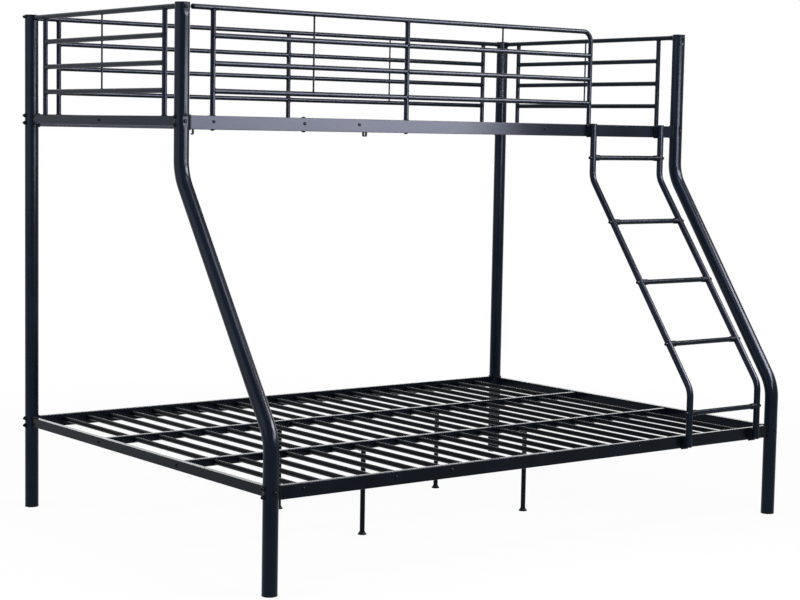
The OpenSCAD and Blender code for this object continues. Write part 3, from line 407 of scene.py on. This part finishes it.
def roundedCopy(node, radius, finish):
    shape, groups = islandsOf(nodes[node].data)
    if node == "post_washers":
        shrinkFrontWashers(groups)
    bmesh.ops.dissolve_limit(shape, angle_limit=math.radians(rounding["flatAngle"]),
                             verts=shape.verts, edges=shape.edges)
    chosen = []
    for group in groups:
        alive = [v for v in group if v.is_valid]
        low, high = cornersOf(alive)
        edges = {e for v in alive for e in v.link_edges}
        for edge in edges:
            sides = 0
            for k in range(3):
                for limit in (low[k], high[k]):
                    sides += all(abs(v.co[k] - limit) < rounding["onBox"] for v in edge.verts)
            if sides >= 2 and edge.calc_length() > rounding["shortest"] * radius:
                chosen.append(edge)
    bmesh.ops.bevel(shape, geom=chosen, offset=radius, offset_type="OFFSET",
                    segments=rounding["segments"], profile=0.5, affect="EDGES", clamp_overlap=True)
    mesh = bpy.data.meshes.new(node + "Rounded")
    shape.to_mesh(mesh)
    shape.free()
    holder = bpy.data.objects.new(node + "Holder", mesh)
    bpy.context.scene.collection.objects.link(holder)
    mesh.shade_smooth()
    mesh.set_sharp_from_angle(angle=math.radians(rounding["sharpAngle"]))
    weigh = holder.modifiers.new("weighted", "WEIGHTED_NORMAL")
    weigh.keep_sharp = True
    weigh.weight = 100
    bpy.context.view_layer.update()
    ready = bpy.data.meshes.new_from_object(holder.evaluated_get(bpy.context.evaluated_depsgraph_get()))
    holder.modifiers.remove(weigh)
    bpy.data.objects.remove(holder)
    ready.materials.clear()
    ready.materials.append(finishes[finish])
    piece = bpy.data.objects.new(node + "Rounded", ready)
    bpy.context.scene.collection.objects.link(piece)
    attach(piece, "root")
    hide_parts(node)
    return len(chosen)


for node, (radius, finish) in roundedPieces.items():
    count = roundedCopy(node, radius, finish)
    print("rounded", node, count, "edges")


# Bolts: button heads with a hex socket, on the places of the CAD bolts
bolts = {
    "shankRadius": {"post_bolts": 0.003, "guard_bolts": 0.0025, "rail_bolts": 0.003,
                    "rung_bolts": 0.003, "ladder_bolts": 0.003},
    # unit forms: radius 1, height or length 1
    "headProfile": [(1.0, 0.0), (1.0, 0.35), (0.95, 0.56), (0.84, 0.76), (0.68, 0.92), (0.56, 1.0)],
    "shankProfile": [(0.0, 0.0), (1.0, 0.0), (1.0, -0.96), (0.85, -1.0), (0.0, -1.0)],
    "socket": {"flat": 0.43, "depth": 0.45},
    "around": 24, "shankAround": 12,
    "rimShare": 0.93,  # points this far out belong to the head
    "spin": 13.0,      # degrees from one socket to the next
}


def buttonHead():
    # Base at zero, top with a hex socket
    segments, socket = bolts["around"], bolts["socket"]
    shape = bmesh.new()
    rings = []
    for radius, height in bolts["headProfile"]:
        rings.append([shape.verts.new((radius * math.cos(2 * math.pi * i / segments),
                                       radius * math.sin(2 * math.pi * i / segments), height))
                      for i in range(segments)])
    for height in (1.0, 1.0 - socket["depth"]):
        ring = []
        for i in range(segments):
            angle = 2 * math.pi * i / segments
            within = (angle + math.pi / 6) % (math.pi / 3) - math.pi / 6
            reach = socket["flat"] / math.cos(within)
            ring.append(shape.verts.new((reach * math.cos(angle), reach * math.sin(angle), height)))
        rings.append(ring)
    for low, high in zip(rings, rings[1:]):
        wrapRings(shape, low, high)
    shape.faces.new(rings[-1])
    shape.faces.new(list(reversed(rings[0])))
    return meshOf("buttonHead", shape)


def boltPlaces(node):
    # Each solid's long axis, the plane under its head, and its sizes
    shape, groups = islandsOf(nodes[node].data)
    found = []
    for group in groups:
        low, high = cornersOf(group)
        axis = max(range(3), key=lambda k: high[k] - low[k])
        middle = (low + high) / 2
        across = [k for k in range(3) if k != axis]
        reach = {v: math.hypot(*(v.co[k] - middle[k] for k in across)) for v in group}
        headRadius = max(reach.values())
        headEnds = [v.co[axis] for v in group if reach[v] > bolts["rimShare"] * headRadius]
        side = 1 if sum(headEnds) / len(headEnds) > middle[axis] else -1
        base = min(headEnds) if side > 0 else max(headEnds)
        tip = low[axis] if side > 0 else high[axis]
        top = high[axis] if side > 0 else low[axis]
        point = middle.copy()
        point[axis] = base
        direction = Vector((0, 0, 0))
        direction[axis] = side
        found.append((point, direction, headRadius, abs(top - base), abs(base - tip)))
    shape.free()
    return found


headTemplate = templateObject("headTemplate", buttonHead())
shankTemplate = templateObject("shankTemplate", turnedMesh(
    "shank", bolts["shankProfile"], [(0, 0, 0)], bolts["shankAround"]))
boltTree = repeatTree("boltsOnPlaces", ["head", "shank"])
for node, shankRadius in bolts["shankRadius"].items():
    places = []
    for number, (point, direction, radius, height, length) in enumerate(boltPlaces(node)):
        turn = Vector((0, 0, 1)).rotation_difference(direction).to_matrix().to_4x4()
        turn = turn @ Matrix.Rotation(math.radians(bolts["spin"] * number), 4, "Z")
        if direction.y < -0.5 and facesFront(point):
            radius *= pressed["headGrow"]
            point = point - direction * pressed["headSink"]
        places.append((point, turn, {"head": (radius, radius, height),
                                     "shank": (shankRadius, shankRadius, length)}))
    repeatPiece(node + "Buttons", boltTree, places,
                {"head": headTemplate, "shank": shankTemplate}, "screw", (node,))
    print("bolts on", node, len(places))


# Weld beads where tubes meet
guard = {
    "top": 1.635, "step": 0.081, "bars": 3,  # the bars hang in equal steps under the top tube
    "railTop": 1.320, "endRailTop": 1.3175,
    # uprights: along X at the front and the rear, along -Y at the ends
    "front": (-0.920, -0.19975, 0.595), "rear": (-0.926, 0.0, 0.926), "ends": (-0.62925, 0.13475),
    "tubeRadius": 0.008, "rodRadius": 0.003,
}
welds = {
    "beadRadius": 0.0013, "rodBeadRadius": 0.0007, "slatBeadRadius": 0.0009,
    "around": 24, "sides": 5,          # of a bead on a tube
    "fineAround": 12, "fineSides": 4,  # of a bead on a rod or a slat
    "rippleDepth": 0.22,
    "lift": 0.3,         # how far a bead's middle stands off the seam, in bead radii
    "seatSlack": 1.0001,  # lifts the lowest points of a bead on an equal tube by 0.1 mm
    "sharpAngle": 60,    # degrees
}


def weldBead(name, tubeRadius, seatRadius, beadRadius, segments, sides):
    # A rippled ring round a tube's end, bent over the round tube that it sits on: local Z runs
    # out along the tube from the middle of its seat, local Y along the seat
    shape = bmesh.new()
    rings = []
    for i in range(segments):
        angle = 2 * math.pi * i / segments
        x, y = tubeRadius * math.cos(angle), tubeRadius * math.sin(angle)
        height = math.sqrt(max(seatRadius ** 2 - x ** 2, 0.0)) if seatRadius else 0.0
        thick = beadRadius * (1 + welds["rippleDepth"] * (i % 2))
        outward, upright = Vector((math.cos(angle), math.sin(angle), 0)), Vector((0, 0, 1))
        centre = Vector((x, y, height)) + (outward + upright) * thick * welds["lift"]
        ring = []
        for k in range(sides):
            a = 2 * math.pi * k / sides
            ring.append(shape.verts.new(centre + (outward * math.cos(a) + upright * math.sin(a)) * thick))
        rings.append(ring)
    for ring, nextRing in zip(rings, rings[1:] + rings[:1]):
        wrapRings(shape, ring, nextRing)
    return meshOf(name, shape)


def seatTurn(along, seat):
    # Local Z along the tube, local Y along the tube that it sits on
    z, y = Vector(along), Vector(seat)
    x = y.cross(z)
    return Matrix((x, y, z)).transposed().to_4x4()


beads = {}
for name, tubeRadius, seatRadius, beadRadius, segments, sides in (
        ("tubeBead", guard["tubeRadius"], guard["tubeRadius"] * welds["seatSlack"], welds["beadRadius"],
         welds["around"], welds["sides"]),
        ("rodBead", guard["rodRadius"], guard["tubeRadius"], welds["rodBeadRadius"],
         welds["fineAround"], welds["fineSides"]),
        ("flatBead", guard["tubeRadius"], 0.0, welds["beadRadius"], welds["around"], welds["sides"]),
        ("slatBead", guard["tubeRadius"], 0.0, welds["slatBeadRadius"],
         welds["fineAround"], welds["fineSides"])):
    beads[name] = templateObject(name, weldBead(name, tubeRadius, seatRadius, beadRadius, segments, sides))
beadTree = repeatTree("beadsOnPlaces", ["bead"])
one = {"bead": (1.0, 1.0, 1.0)}
upward, downward = (0, 0, 1), (0, 0, -1)
tubeSeats, rodSeats, flatSeats = [], [], []
barHeights = [guard["top"] - guard["step"] * (i + 1) for i in range(guard["bars"])]


def guardSeats(along, across, uprights, topEnds, railTop):
    # along: unit vector of the guard's bars; across: where its plane stands. A rod stands midway
    # between each two uprights
    ahead, back = Vector(along), -Vector(along)
    for number, place in enumerate(uprights):
        foot = across + ahead * place
        for height in barHeights:
            point = foot + Vector((0, 0, height))
            if number > 0:
                tubeSeats.append((point, seatTurn(back, upward), one))
            if number < len(uprights) - 1:
                tubeSeats.append((point, seatTurn(ahead, upward), one))
        flatSeats.append((foot + Vector((0, 0, railTop)), Matrix.Identity(4), one))
        if place in topEnds:
            tubeSeats.append((foot + Vector((0, 0, guard["top"])), seatTurn(downward, ahead), one))
    for before, after in zip(uprights, uprights[1:]):
        foot = across + ahead * (before + after) / 2
        for high, low in zip([guard["top"]] + barHeights, barHeights):
            rodSeats.append((foot + Vector((0, 0, high)), seatTurn(downward, ahead), one))
            rodSeats.append((foot + Vector((0, 0, low)), seatTurn(upward, ahead), one))


# The front top tube bends down into the rail at its right end, so only two uprights end under it
guardSeats((1, 0, 0), Vector((0, corners["upperFrontY"], 0)), guard["front"], guard["front"][:2],
           guard["railTop"])
guardSeats((1, 0, 0), Vector((0, corners["rearY"], 0)), guard["rear"], guard["rear"], guard["railTop"])
for x in corners["x"]:
    guardSeats((0, -1, 0), Vector((x, 0, 0)), guard["ends"], guard["ends"], guard["endRailTop"])
for name, seats, bead in (("guardWelds", tubeSeats, "tubeBead"), ("rodWelds", rodSeats, "rodBead"),
                          ("uprightWelds", flatSeats, "flatBead")):
    repeatPiece(name, beadTree, seats, {"bead": beads[bead]}, "tube", (), welds["sharpAngle"])
print("guard welds:", len(tubeSeats), len(rodSeats), len(flatSeats))


# Slat welds: a thin ring at both ends of every slat
slatSeats = []
for node in ("upper_rear_slats", "upper_front_slats", "lower_rear_slats", "lower_middle_slats",
             "lower_front_slats"):
    shape, groups = islandsOf(nodes[node].data)
    for group in groups:
        low, high = cornersOf(group)
        middle = (low + high) / 2
        slatSeats.append((Vector((middle.x, low.y, middle.z)), seatTurn((0, 1, 0), upward), one))
        slatSeats.append((Vector((middle.x, high.y, middle.z)), seatTurn((0, -1, 0), upward), one))
    shape.free()
# The slat welds take the slats' finish, painted darker as shade
repeatPiece("slatWelds", beadTree, slatSeats, {"bead": beads["slatBead"]}, "slat", (),
            welds["sharpAngle"])
print("slat welds:", len(slatSeats))


# Plastic fittings, turned: caps, feet, plugs and domes
fittings = {
    # edge: the rim's rounding as (inset from the radius, height)
    "cap": {"top": 1.646, "radius": 0.0228, "rim": 0.003, "plug": 0.0206, "depth": 0.018, "crown": 0.4,
            "edge": [(0.0006, 0.0), (0.0, 0.0006), (0.0, 0.0015), (0.0004, 0.0021), (0.0012, 0.0025),
                     (0.006, 0.0028)]},
    "foot": {"radius": 0.02275, "rim": 0.004, "plug": 0.0206, "depth": 0.018,
             "edge": [(0.0015, 0.0), (0.0004, 0.0005), (0.0, 0.0015), (0.0, 0.0036), (0.0004, 0.004)]},
    "legFoot": {"radius": 0.01425, "rim": 0.004, "neck": 0.0097, "height": 0.010, "bore": 0.0082,
                "floor": 0.003, "flareInset": 0.0020, "lip": 0.0008,
                "edge": [(0.001, 0.0), (0.0, 0.001), (0.0, 0.0028), (0.0006, 0.0036), (0.0018, 0.004)]},
    "stilePlug": {"radius": 0.0110, "rim": 0.002, "plug": 0.0092, "depth": 0.010, "crown": 0.5,
                  "edge": [(0.0002, 0.0), (0.0, 0.0003), (0.0002, 0.0012), (0.001, 0.0018)]},
    "dome": {"radius": 0.00675, "height": 0.0035, "neck": 0.0052, "arc": (0, 20, 40, 60, 75),
             "spareX": -0.595},  # the hole that no upright fills
    "guardPlug": {"tubeEnd": -0.9885, "nose": 0.006, "radius": 0.008, "stem": 0.0064, "depth": 0.014,
                  "arc": (25, 50, 75, 90), "flatShare": 0.55, "sideShare": 0.4},
    "around": {"wide": 48, "middle": 32, "small": 24},
}
around = fittings["around"]


def edgeOf(piece):
    return [(piece["radius"] - inset, height) for inset, height in piece["edge"]]


def pluggedProfile(piece):
    # A plug inside the tube, a rim on its end and a low crown
    stem = [(0.0, -piece["depth"]), (piece["plug"], -piece["depth"]), (piece["plug"], 0.0)]
    return stem + edgeOf(piece) + [(piece["radius"] * piece["crown"], piece["rim"]), (0.0, piece["rim"])]


cap = fittings["cap"]
capPlaces = [(x, y, cap["top"] - cap["rim"]) for x in corners["x"]
             for y in (corners["rearY"], corners["upperFrontY"])]
finishPiece("postCaps", turnedMesh("postCaps", pluggedProfile(cap), capPlaces, around["wide"]), "plastic",
            ("post_caps",))

foot = fittings["foot"]
footTop = foot["rim"] + foot["depth"]
footProfile = [(0.0, 0.0)] + edgeOf(foot) + [(foot["plug"], foot["rim"]), (foot["plug"], footTop),
                                             (0.0, footTop)]
footPlaces = [(x, y, 0.0) for x in corners["x"] for y in (corners["rearY"], corners["lowerFrontY"])]
finishPiece("postFeet", turnedMesh("postFeet", footProfile, footPlaces, around["wide"]), "plastic",
            ("post_feet",))

leg = fittings["legFoot"]
legProfile = [(0.0, 0.0)] + edgeOf(leg)
for share in (0.25, 0.5, 0.75, 1.0):
    spread = leg["radius"] - leg["flareInset"] - leg["neck"]
    legProfile.append((leg["neck"] + spread * (1 - share) ** 2,
                       leg["rim"] + share * (leg["height"] - leg["rim"] - leg["lip"])))
legProfile += [(leg["neck"] - leg["lip"], leg["height"]), (leg["bore"], leg["height"]),
               (leg["bore"], leg["floor"]), (0.0, leg["floor"])]
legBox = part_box("leg_feet")
legPlaces = [(x, y, 0.0) for x in (legBox[0].x + leg["radius"], legBox[1].x - leg["radius"])
             for y in (legBox[0].y + leg["radius"], legBox[1].y - leg["radius"])]
finishPiece("legFeet", turnedMesh("legFeet", legProfile, legPlaces, around["middle"]), "plastic",
            ("leg_feet",))

plug = fittings["stilePlug"]
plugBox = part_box("stile_plugs")
stileX = (plugBox[0].x + plug["radius"], plugBox[1].x - plug["radius"])
topPlugs = [(x, plugBox[1].y - plug["radius"], plugBox[1].z - plug["rim"]) for x in stileX]
lowPlugs = [(x, plugBox[0].y + plug["radius"], plugBox[0].z + plug["rim"]) for x in stileX]
plugMesh = turnedBothWays("stilePlugs", pluggedProfile(plug), topPlugs, lowPlugs, around["middle"])
finishPiece("stilePlugs", plugMesh, "plastic", ("stile_plugs",))

dome = fittings["dome"]
domeProfile = [(0.0, -dome["height"]), (dome["neck"], -dome["height"]), (dome["neck"], 0.0)]
domeProfile += [(dome["radius"] * math.cos(math.radians(a)), dome["height"] * math.sin(math.radians(a)))
                for a in dome["arc"]] + [(0.0, dome["height"])]
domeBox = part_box("hole_domes")
topDomes = [(dome["spareX"], corners["upperFrontY"], domeBox[1].z - dome["height"])]
footDomes = [(x, corners["upperFrontY"], domeBox[0].z + dome["height"])
             for x in (dome["spareX"],) + guard["front"]]
domeMesh = turnedBothWays("holeDomes", domeProfile, topDomes, footDomes, around["small"])
finishPiece("holeDomes", domeMesh, "plastic", ("hole_domes",))

nose = fittings["guardPlug"]
flat, side = nose["flatShare"], nose["sideShare"]
noseProfile = [(0.0, -nose["depth"]), (nose["stem"], -nose["depth"]), (nose["stem"], 0.0),
               (nose["radius"], 0.0), (nose["radius"], nose["nose"] * side)]
noseProfile += [(nose["radius"] * (flat + (1 - flat) * math.cos(math.radians(a))),
                 nose["nose"] * (side + (1 - side) * math.sin(math.radians(a)))) for a in nose["arc"]]
noseProfile.append((0.0, nose["nose"]))
noseMesh = turnedMesh("guardNose", noseProfile, [(0, 0, 0)], around["middle"])
noseMesh.transform(Matrix.Translation((nose["tubeEnd"], corners["upperFrontY"], guard["top"])) @
                   Matrix.Rotation(math.radians(-90), 4, "Y"))
finishPiece("guardNose", noseMesh, "plastic", ("guard_plug",))
print("caps, feet, plugs and domes made")


# Sleeves that seat on a round tube: guard ends on the posts and rung collars on the stiles
sleeves = {
    # profile: (distance from the seat's axis, radius)
    "guardEnd": {"seat": 0.0225, "profile": [(0.0225, 0.0084), (0.0270, 0.0084), (0.0295, 0.0086),
                                              (0.0340, 0.0088), (0.0362, 0.0087), (0.0368, 0.0084)]},
    "rungCollar": {"seat": 0.0110, "profile": [(0.0110, 0.0104), (0.0150, 0.0104), (0.0270, 0.0101),
                                                (0.0295, 0.0099), (0.0306, 0.0094), (0.0310, 0.0088)]},
    "around": 32,
    "boreShare": 0.93,  # inner radius as a share of the outer one
}


def seatedSleeve(name, seatRadius, profile):
    # The first ring is bent onto the seat. Local Z runs away from the seat, local Y along it
    shape = bmesh.new()
    segments = sleeves["around"]

    def onSeat(x):
        return math.sqrt(max(seatRadius ** 2 - x ** 2, 0.0))

    rings = []
    for number, (reach, radius) in enumerate(profile):
        ring = []
        for i in range(segments):
            angle = 2 * math.pi * i / segments
            x, y = radius * math.cos(angle), radius * math.sin(angle)
            ring.append(shape.verts.new((x, y, reach if number else onSeat(x))))
        rings.append(ring)
    for low, high in zip(rings, rings[1:]):
        wrapRings(shape, low, high)
    share = sleeves["boreShare"]
    seatBore = [shape.verts.new((v.co.x * share, v.co.y * share, onSeat(v.co.x * share))) for v in rings[0]]
    endBore = [shape.verts.new((v.co.x * share, v.co.y * share, v.co.z)) for v in rings[-1]]
    wrapRings(shape, rings[0], seatBore)
    wrapRings(shape, rings[-1], endBore)
    wrapRings(shape, seatBore, endBore)
    return meshOf(name, shape)


sleeveTree = repeatTree("sleevesOnPlaces", ["sleeve"])
plain = {"sleeve": (1.0, 1.0, 1.0)}
leftX, rightX = corners["x"]
guardEnds = []
for x, y, direction in (
        (leftX, corners["rearY"], (1, 0, 0)), (rightX, corners["rearY"], (-1, 0, 0)),
        (leftX, corners["rearY"], (0, -1, 0)), (rightX, corners["rearY"], (0, -1, 0)),
        (leftX, corners["upperFrontY"], (0, 1, 0)), (rightX, corners["upperFrontY"], (0, 1, 0))):
    guardEnds.append((Vector((x, y, guard["top"])), seatTurn(direction, upward), plain))
guardSleeve = templateObject("guardSleeve", seatedSleeve("guardSleeve", sleeves["guardEnd"]["seat"],
                                                         sleeves["guardEnd"]["profile"]))
repeatPiece("guardEndSleeves", sleeveTree, guardEnds, {"sleeve": guardSleeve}, "plastic",
            ("guard_saddles",))

ladder = {
    "x": (0.595, 0.920), "upperBend": 1.136, "lowerBend": 0.459,
    "ahead": 0.0275,  # from the front posts' axes to the stiles'
    "rungs": (0.384, 0.601419, 0.795, 0.989814, 1.206),
}
topY, lowY = corners["upperFrontY"] - ladder["ahead"], corners["lowerFrontY"] - ladder["ahead"]
ladderLean = math.atan2(topY - lowY, ladder["upperBend"] - ladder["lowerBend"])
collarPlaces = []
for z in ladder["rungs"]:
    if ladder["lowerBend"] < z < ladder["upperBend"]:
        y = topY - (ladder["upperBend"] - z) * math.tan(ladderLean)
        stile = Vector((0, math.sin(ladderLean), math.cos(ladderLean)))
    else:
        y = topY if z > ladder["upperBend"] else lowY
        stile = Vector((0, 0, 1))
    collarPlaces.append((Vector((ladder["x"][0], y, z)), seatTurn((1, 0, 0), stile), plain))
    collarPlaces.append((Vector((ladder["x"][1], y, z)), seatTurn((-1, 0, 0), stile), plain))
collarSleeve = templateObject("collarSleeve", seatedSleeve("collarSleeve", sleeves["rungCollar"]["seat"],
                                                           sleeves["rungCollar"]["profile"]))
repeatPiece("rungCollars", sleeveTree, collarPlaces, {"sleeve": collarSleeve}, "plastic",
            ("rung_collars",))
print("guard ends and rung collars made")


# Front posts: one bent tube each, with a flat pressed in behind every head that faces the front
post = {
    "radius": 0.0225, "wall": 0.0016, "top": 1.643, "foot": 0.004,
    "upperBend": 1.148, "lowerBend": 0.443, "bendRadius": 0.14,
    "around": 64, "arc": 14,
    "fine": 0.003, "coarse": 0.045,  # from ring to ring, at a pressed flat and elsewhere
    "fineBelow": 1.4,                # fine rings reach this many half flats from its middle
    "fineAbove": 0.065,              # and this far above it, more than one coarse step
    "belowArc": 0.01,                # first ring under the lower bend
    "sharpAngle": 50,
}


def postRoute():
    # (y, z, lean) of every ring from the top down
    lean = math.atan2(corners["upperFrontY"] - corners["lowerFrontY"], post["upperBend"] - post["lowerBend"])
    bend = post["bendRadius"]
    reach = bend * math.tan(lean / 2)
    route = []

    def straight(y, high, low):
        z = high
        while z > low + 1e-6:
            route.append((y, z, 0.0))
            near = any(abs(z - height) < post["fineBelow"] * pressed["halfTall"] or
                       0 < z - height < post["fineAbove"] for height, _ in pressed["lines"])
            z -= post["fine"] if near else post["coarse"]

    highArc, lowArc = post["upperBend"] + reach, post["lowerBend"] - reach
    straight(corners["upperFrontY"], post["top"], highArc)
    for i in range(post["arc"] + 1):
        a = lean * i / post["arc"]
        route.append((corners["upperFrontY"] - bend + bend * math.cos(a), highArc - bend * math.sin(a), a))
    for i in range(post["arc"] + 1):
        a = lean * (1 - i / post["arc"])
        route.append((corners["lowerFrontY"] + bend - bend * math.cos(a), lowArc + bend * math.sin(a), a))
    straight(corners["lowerFrontY"], lowArc - post["belowArc"], post["foot"])
    route.append((corners["lowerFrontY"], post["foot"], 0.0))
    return route


def pressedIn(y, z):
    # How far the front of the post is pressed in at this height
    depth = 0.0
    for height, side in pressed["lines"]:
        offset = abs(z - height) / pressed["halfTall"]
        if offset < 1 and abs(y - corners[side]) < 1e-6:
            slope = max(0.0, offset - pressed["level"]) / (1 - pressed["level"])
            depth += pressed["depth"] * (0.5 + 0.5 * math.cos(math.pi * slope))
    return depth


def bentPost(name, x, replaced):
    shape = bmesh.new()
    skins = []
    for inset in (0.0, post["wall"]):
        radius = post["radius"] - inset
        rings = []
        for y, z, lean in postRoute():
            out = Vector((0, -math.cos(lean), math.sin(lean)))
            limit = post["radius"] - pressedIn(y, z)
            ring = []
            for i in range(post["around"]):
                angle = 2 * math.pi * i / post["around"]
                forward = min(radius * math.cos(angle), limit - inset)
                ring.append(shape.verts.new(Vector((x, y, z)) + out * forward +
                                            Vector((radius * math.sin(angle), 0, 0))))
            rings.append(ring)
        skins.append(rings)
    for rings in skins:
        for low, high in zip(rings, rings[1:]):
            wrapRings(shape, low, high)
    outer, inner = skins
    wrapRings(shape, outer[0], inner[0])
    wrapRings(shape, outer[-1], inner[-1])
    finishPiece(name, meshOf(name, shape), "post", (replaced,), post["sharpAngle"])


bentPost("frontLeftPost", leftX, "front_left_post")
bentPost("frontRightPost", rightX, "front_right_post")
print("front posts made")


# Small hook and strap under the upper front rail: bent strips
strips = {
    "railFoot": 1.279, "thick": 0.0040, "wide": 0.0070, "corner": 0.0030, "cornerSteps": 4,
    "hook": {"x": -0.9865, "drop": 0.0135, "lip": 0.0055},
    "strap": {"middle": -0.3625, "width": 0.0110, "drop": 0.0115},
}


def filleted(points):
    # The route with its inner corners rounded
    route = [Vector(points[0])]
    for before, at, after in zip(points, points[1:], points[2:]):
        at = Vector(at)
        back = (Vector(before) - at).normalized() * strips["corner"]
        on = (Vector(after) - at).normalized() * strips["corner"]
        for k in range(strips["cornerSteps"] + 1):
            t = k / strips["cornerSteps"]
            route.append(at + back * (1 - t) ** 2 + on * t ** 2)
    route.append(Vector(points[-1]))
    return route


def bentStrip(shape, points, y):
    route = filleted(points)
    rows = []
    for i, point in enumerate(route):
        along = (route[min(i + 1, len(route) - 1)] - route[max(i - 1, 0)]).normalized()
        across = Vector((-along.y, along.x)) * strips["thick"] / 2
        row = []
        for side, depth in ((1, -0.5), (1, 0.5), (-1, 0.5), (-1, -0.5)):
            spot = point + across * side
            row.append(shape.verts.new((spot.x, y + depth * strips["wide"], spot.y)))
        rows.append(row)
    for low, high in zip(rows, rows[1:]):
        wrapRings(shape, low, high)
    shape.faces.new(rows[0])
    shape.faces.new(list(reversed(rows[-1])))


hook, strap, railFoot = strips["hook"], strips["strap"], strips["railFoot"]
stripShape = bmesh.new()
hookFoot = railFoot - hook["drop"]
bentStrip(stripShape, [(hook["x"], railFoot), (hook["x"], hookFoot), (hook["x"] - hook["lip"], hookFoot)],
          corners["upperFrontY"])
strapFoot = railFoot - strap["drop"]
strapLeft, strapRight = (strap["middle"] + side * strap["width"] / 2 for side in (-1, 1))
bentStrip(stripShape, [(strapLeft, railFoot), (strapLeft, strapFoot), (strapRight, strapFoot),
                       (strapRight, railFoot)], corners["upperFrontY"])
finishPiece("railStrips", meshOf("railStrips", stripShape), "plastic", ("rail_hooks",))
print("hook and strap made")


# Finishes of the CAD nodes that stay
# Rails take the finish painted lighter as sheen
# Slats take the finish painted darker as shade
slotFinish = {"post_coat": "post", "rail_coat": "rail", "slat_coat": "slat", "guard_coat": "tube",
              "black_plastic": "plastic", "dark_screw": "screw", "bright_steel": "zinc"}
for name, node in nodes.items():
    # The middle legs take the lower rails' finish, painted darker as shade
    finish = finishes["lowRail" if name == "middle_legs" else slotFinish[recordSlots[name]]]
    for slotIndex in range(len(node.material_slots)):
        node.material_slots[slotIndex].material = finish
    if not node.material_slots:
        node.data.materials.append(finish)
for template in templatesInUse:
    bpy.data.objects.remove(template)
print("CAD nodes dressed")


# Studio: white floor that keeps the bed's shadow, white background, soft lamps
studio = {
    "floorSize": 40.0, "floorDrop": 0.0004, "floorColour": "#f4f4f4", "clearFrom": 1.6, "clearTo": 4.0,
    "clearNear": 0.92,  # share of plain white in the floor next to the bed, which softens the shadow
    "fill": 0.4,  # level of the world for surfaces
}


def seesStudio(tree):
    # 1 for the rays that see the studio itself: from the camera, off gloss and through glass
    ray = addNode(tree, "ShaderNodeLightPath")
    seen = addNode(tree, "ShaderNodeMath", {"operation": "MAXIMUM"},
                   input0=ray.outputs["Is Camera Ray"], input1=ray.outputs["Is Glossy Ray"])
    return addNode(tree, "ShaderNodeMath", {"operation": "MAXIMUM"},
                   input0=seen.outputs[0], input1=ray.outputs["Is Transmission Ray"]).outputs[0]


white = (1.0, 1.0, 1.0, 1.0)
world = bpy.data.worlds.new("studio")
bpy.context.scene.world = world
world.use_nodes = True
tree = world.node_tree
tree.nodes.clear()
fill = addNode(tree, "ShaderNodeBackground", Color=white, Strength=studio["fill"])
backdrop = addNode(tree, "ShaderNodeBackground", Color=white, Strength=1.0)
both = addNode(tree, "ShaderNodeMixShader", input0=seesStudio(tree), input1=fill.outputs[0],
               input2=backdrop.outputs[0])
addNode(tree, "ShaderNodeOutputWorld", Surface=both.outputs[0])

floorMesh = bpy.data.meshes.new("studioFloor")
half, drop = studio["floorSize"] / 2, studio["floorDrop"]
floorMesh.from_pydata([(-half, -half, -drop), (half, -half, -drop), (half, half, -drop),
                       (-half, half, -drop)], [], [(0, 1, 2, 3)])
floor = bpy.data.objects.new("studioFloor", floorMesh)
bpy.context.scene.collection.objects.link(floor)
floorMaterial = bpy.data.materials.new("matWhiteBackdropPaper")
floorMaterial.use_nodes = True
tree = floorMaterial.node_tree
tree.nodes.clear()
place = addNode(tree, "ShaderNodeTexCoord")
away = addNode(tree, "ShaderNodeVectorMath", {"operation": "LENGTH"}, Vector=place.outputs["Object"])
clear = addNode(tree, "ShaderNodeMapRange", {"interpolation_type": "SMOOTHSTEP"},
                Value=away.outputs["Value"], From_Min=studio["clearFrom"], From_Max=studio["clearTo"],
                To_Min=studio["clearNear"])
paper = addNode(tree, "ShaderNodeBsdfDiffuse", Color=linearColour(studio["floorColour"]))
glow = addNode(tree, "ShaderNodeEmission", Color=white, Strength=1.0)
part = addNode(tree, "ShaderNodeMath", {"operation": "MULTIPLY"},
               input0=clear.outputs["Result"], input1=seesStudio(tree))
mixed = addNode(tree, "ShaderNodeMixShader", input0=part.outputs[0], input1=paper.outputs[0],
                input2=glow.outputs[0])
addNode(tree, "ShaderNodeOutputMaterial", Surface=mixed.outputs[0])
floorMesh.materials.append(floorMaterial)

# The first three are panels that the coat mirrors; they add nothing to its diffuse light
reflectedOnly = ("rightSoftbox", "frontStrip", "barStrip")
lamps = {
    # name: (place, aimed at, width, height, watts)
    "rightSoftbox": ((0.82, -2.40, 1.375), (-0.02, -1.85, 1.375), 1.9, 0.5, 108),
    "frontStrip": ((-0.04, -3.30, 1.40), (-0.30, -0.20, 1.40), 0.72, 0.5, 38),
    "barStrip": ((1.60, -2.50, 2.55), (-0.30, -0.30, 1.40), 2.4, 1.0, 440),
    "leftPanel": ((-4.20, 0.00, 1.90), (-1.00, 0.00, 1.20), 4.0, 2.4, 68),
    "frontOverhead": ((0.05, -1.95, 3.40), (-0.50, -0.40, 0.90), 1.5, 0.8, 52),
    "topPanel": ((0.2, 0.6, 4.6), (0.0, 0.0, 0.0), 4.0, 3.0, 75),
    "backPanel": ((7.0, 8.0, 2.1), (0.0, 0.0, 0.4), 9.0, 1.3, 110),
}
for name, (place, target, width, height, watts) in lamps.items():
    lamp = bpy.data.lights.new(name, "AREA")
    lamp.shape = "RECTANGLE"
    lamp.size = width
    lamp.size_y = height
    lamp.energy = watts
    holder = bpy.data.objects.new(name, lamp)
    bpy.context.scene.collection.objects.link(holder)
    aim = Vector(target) - Vector(place)
    holder.matrix_world = Matrix.Translation(place) @ aim.to_track_quat("-Z", "Y").to_matrix().to_4x4()
    holder.visible_camera = False
    holder.visible_diffuse = name not in reflectedOnly
bpy.context.scene.view_settings.view_transform = "Standard"
print("studio lit")
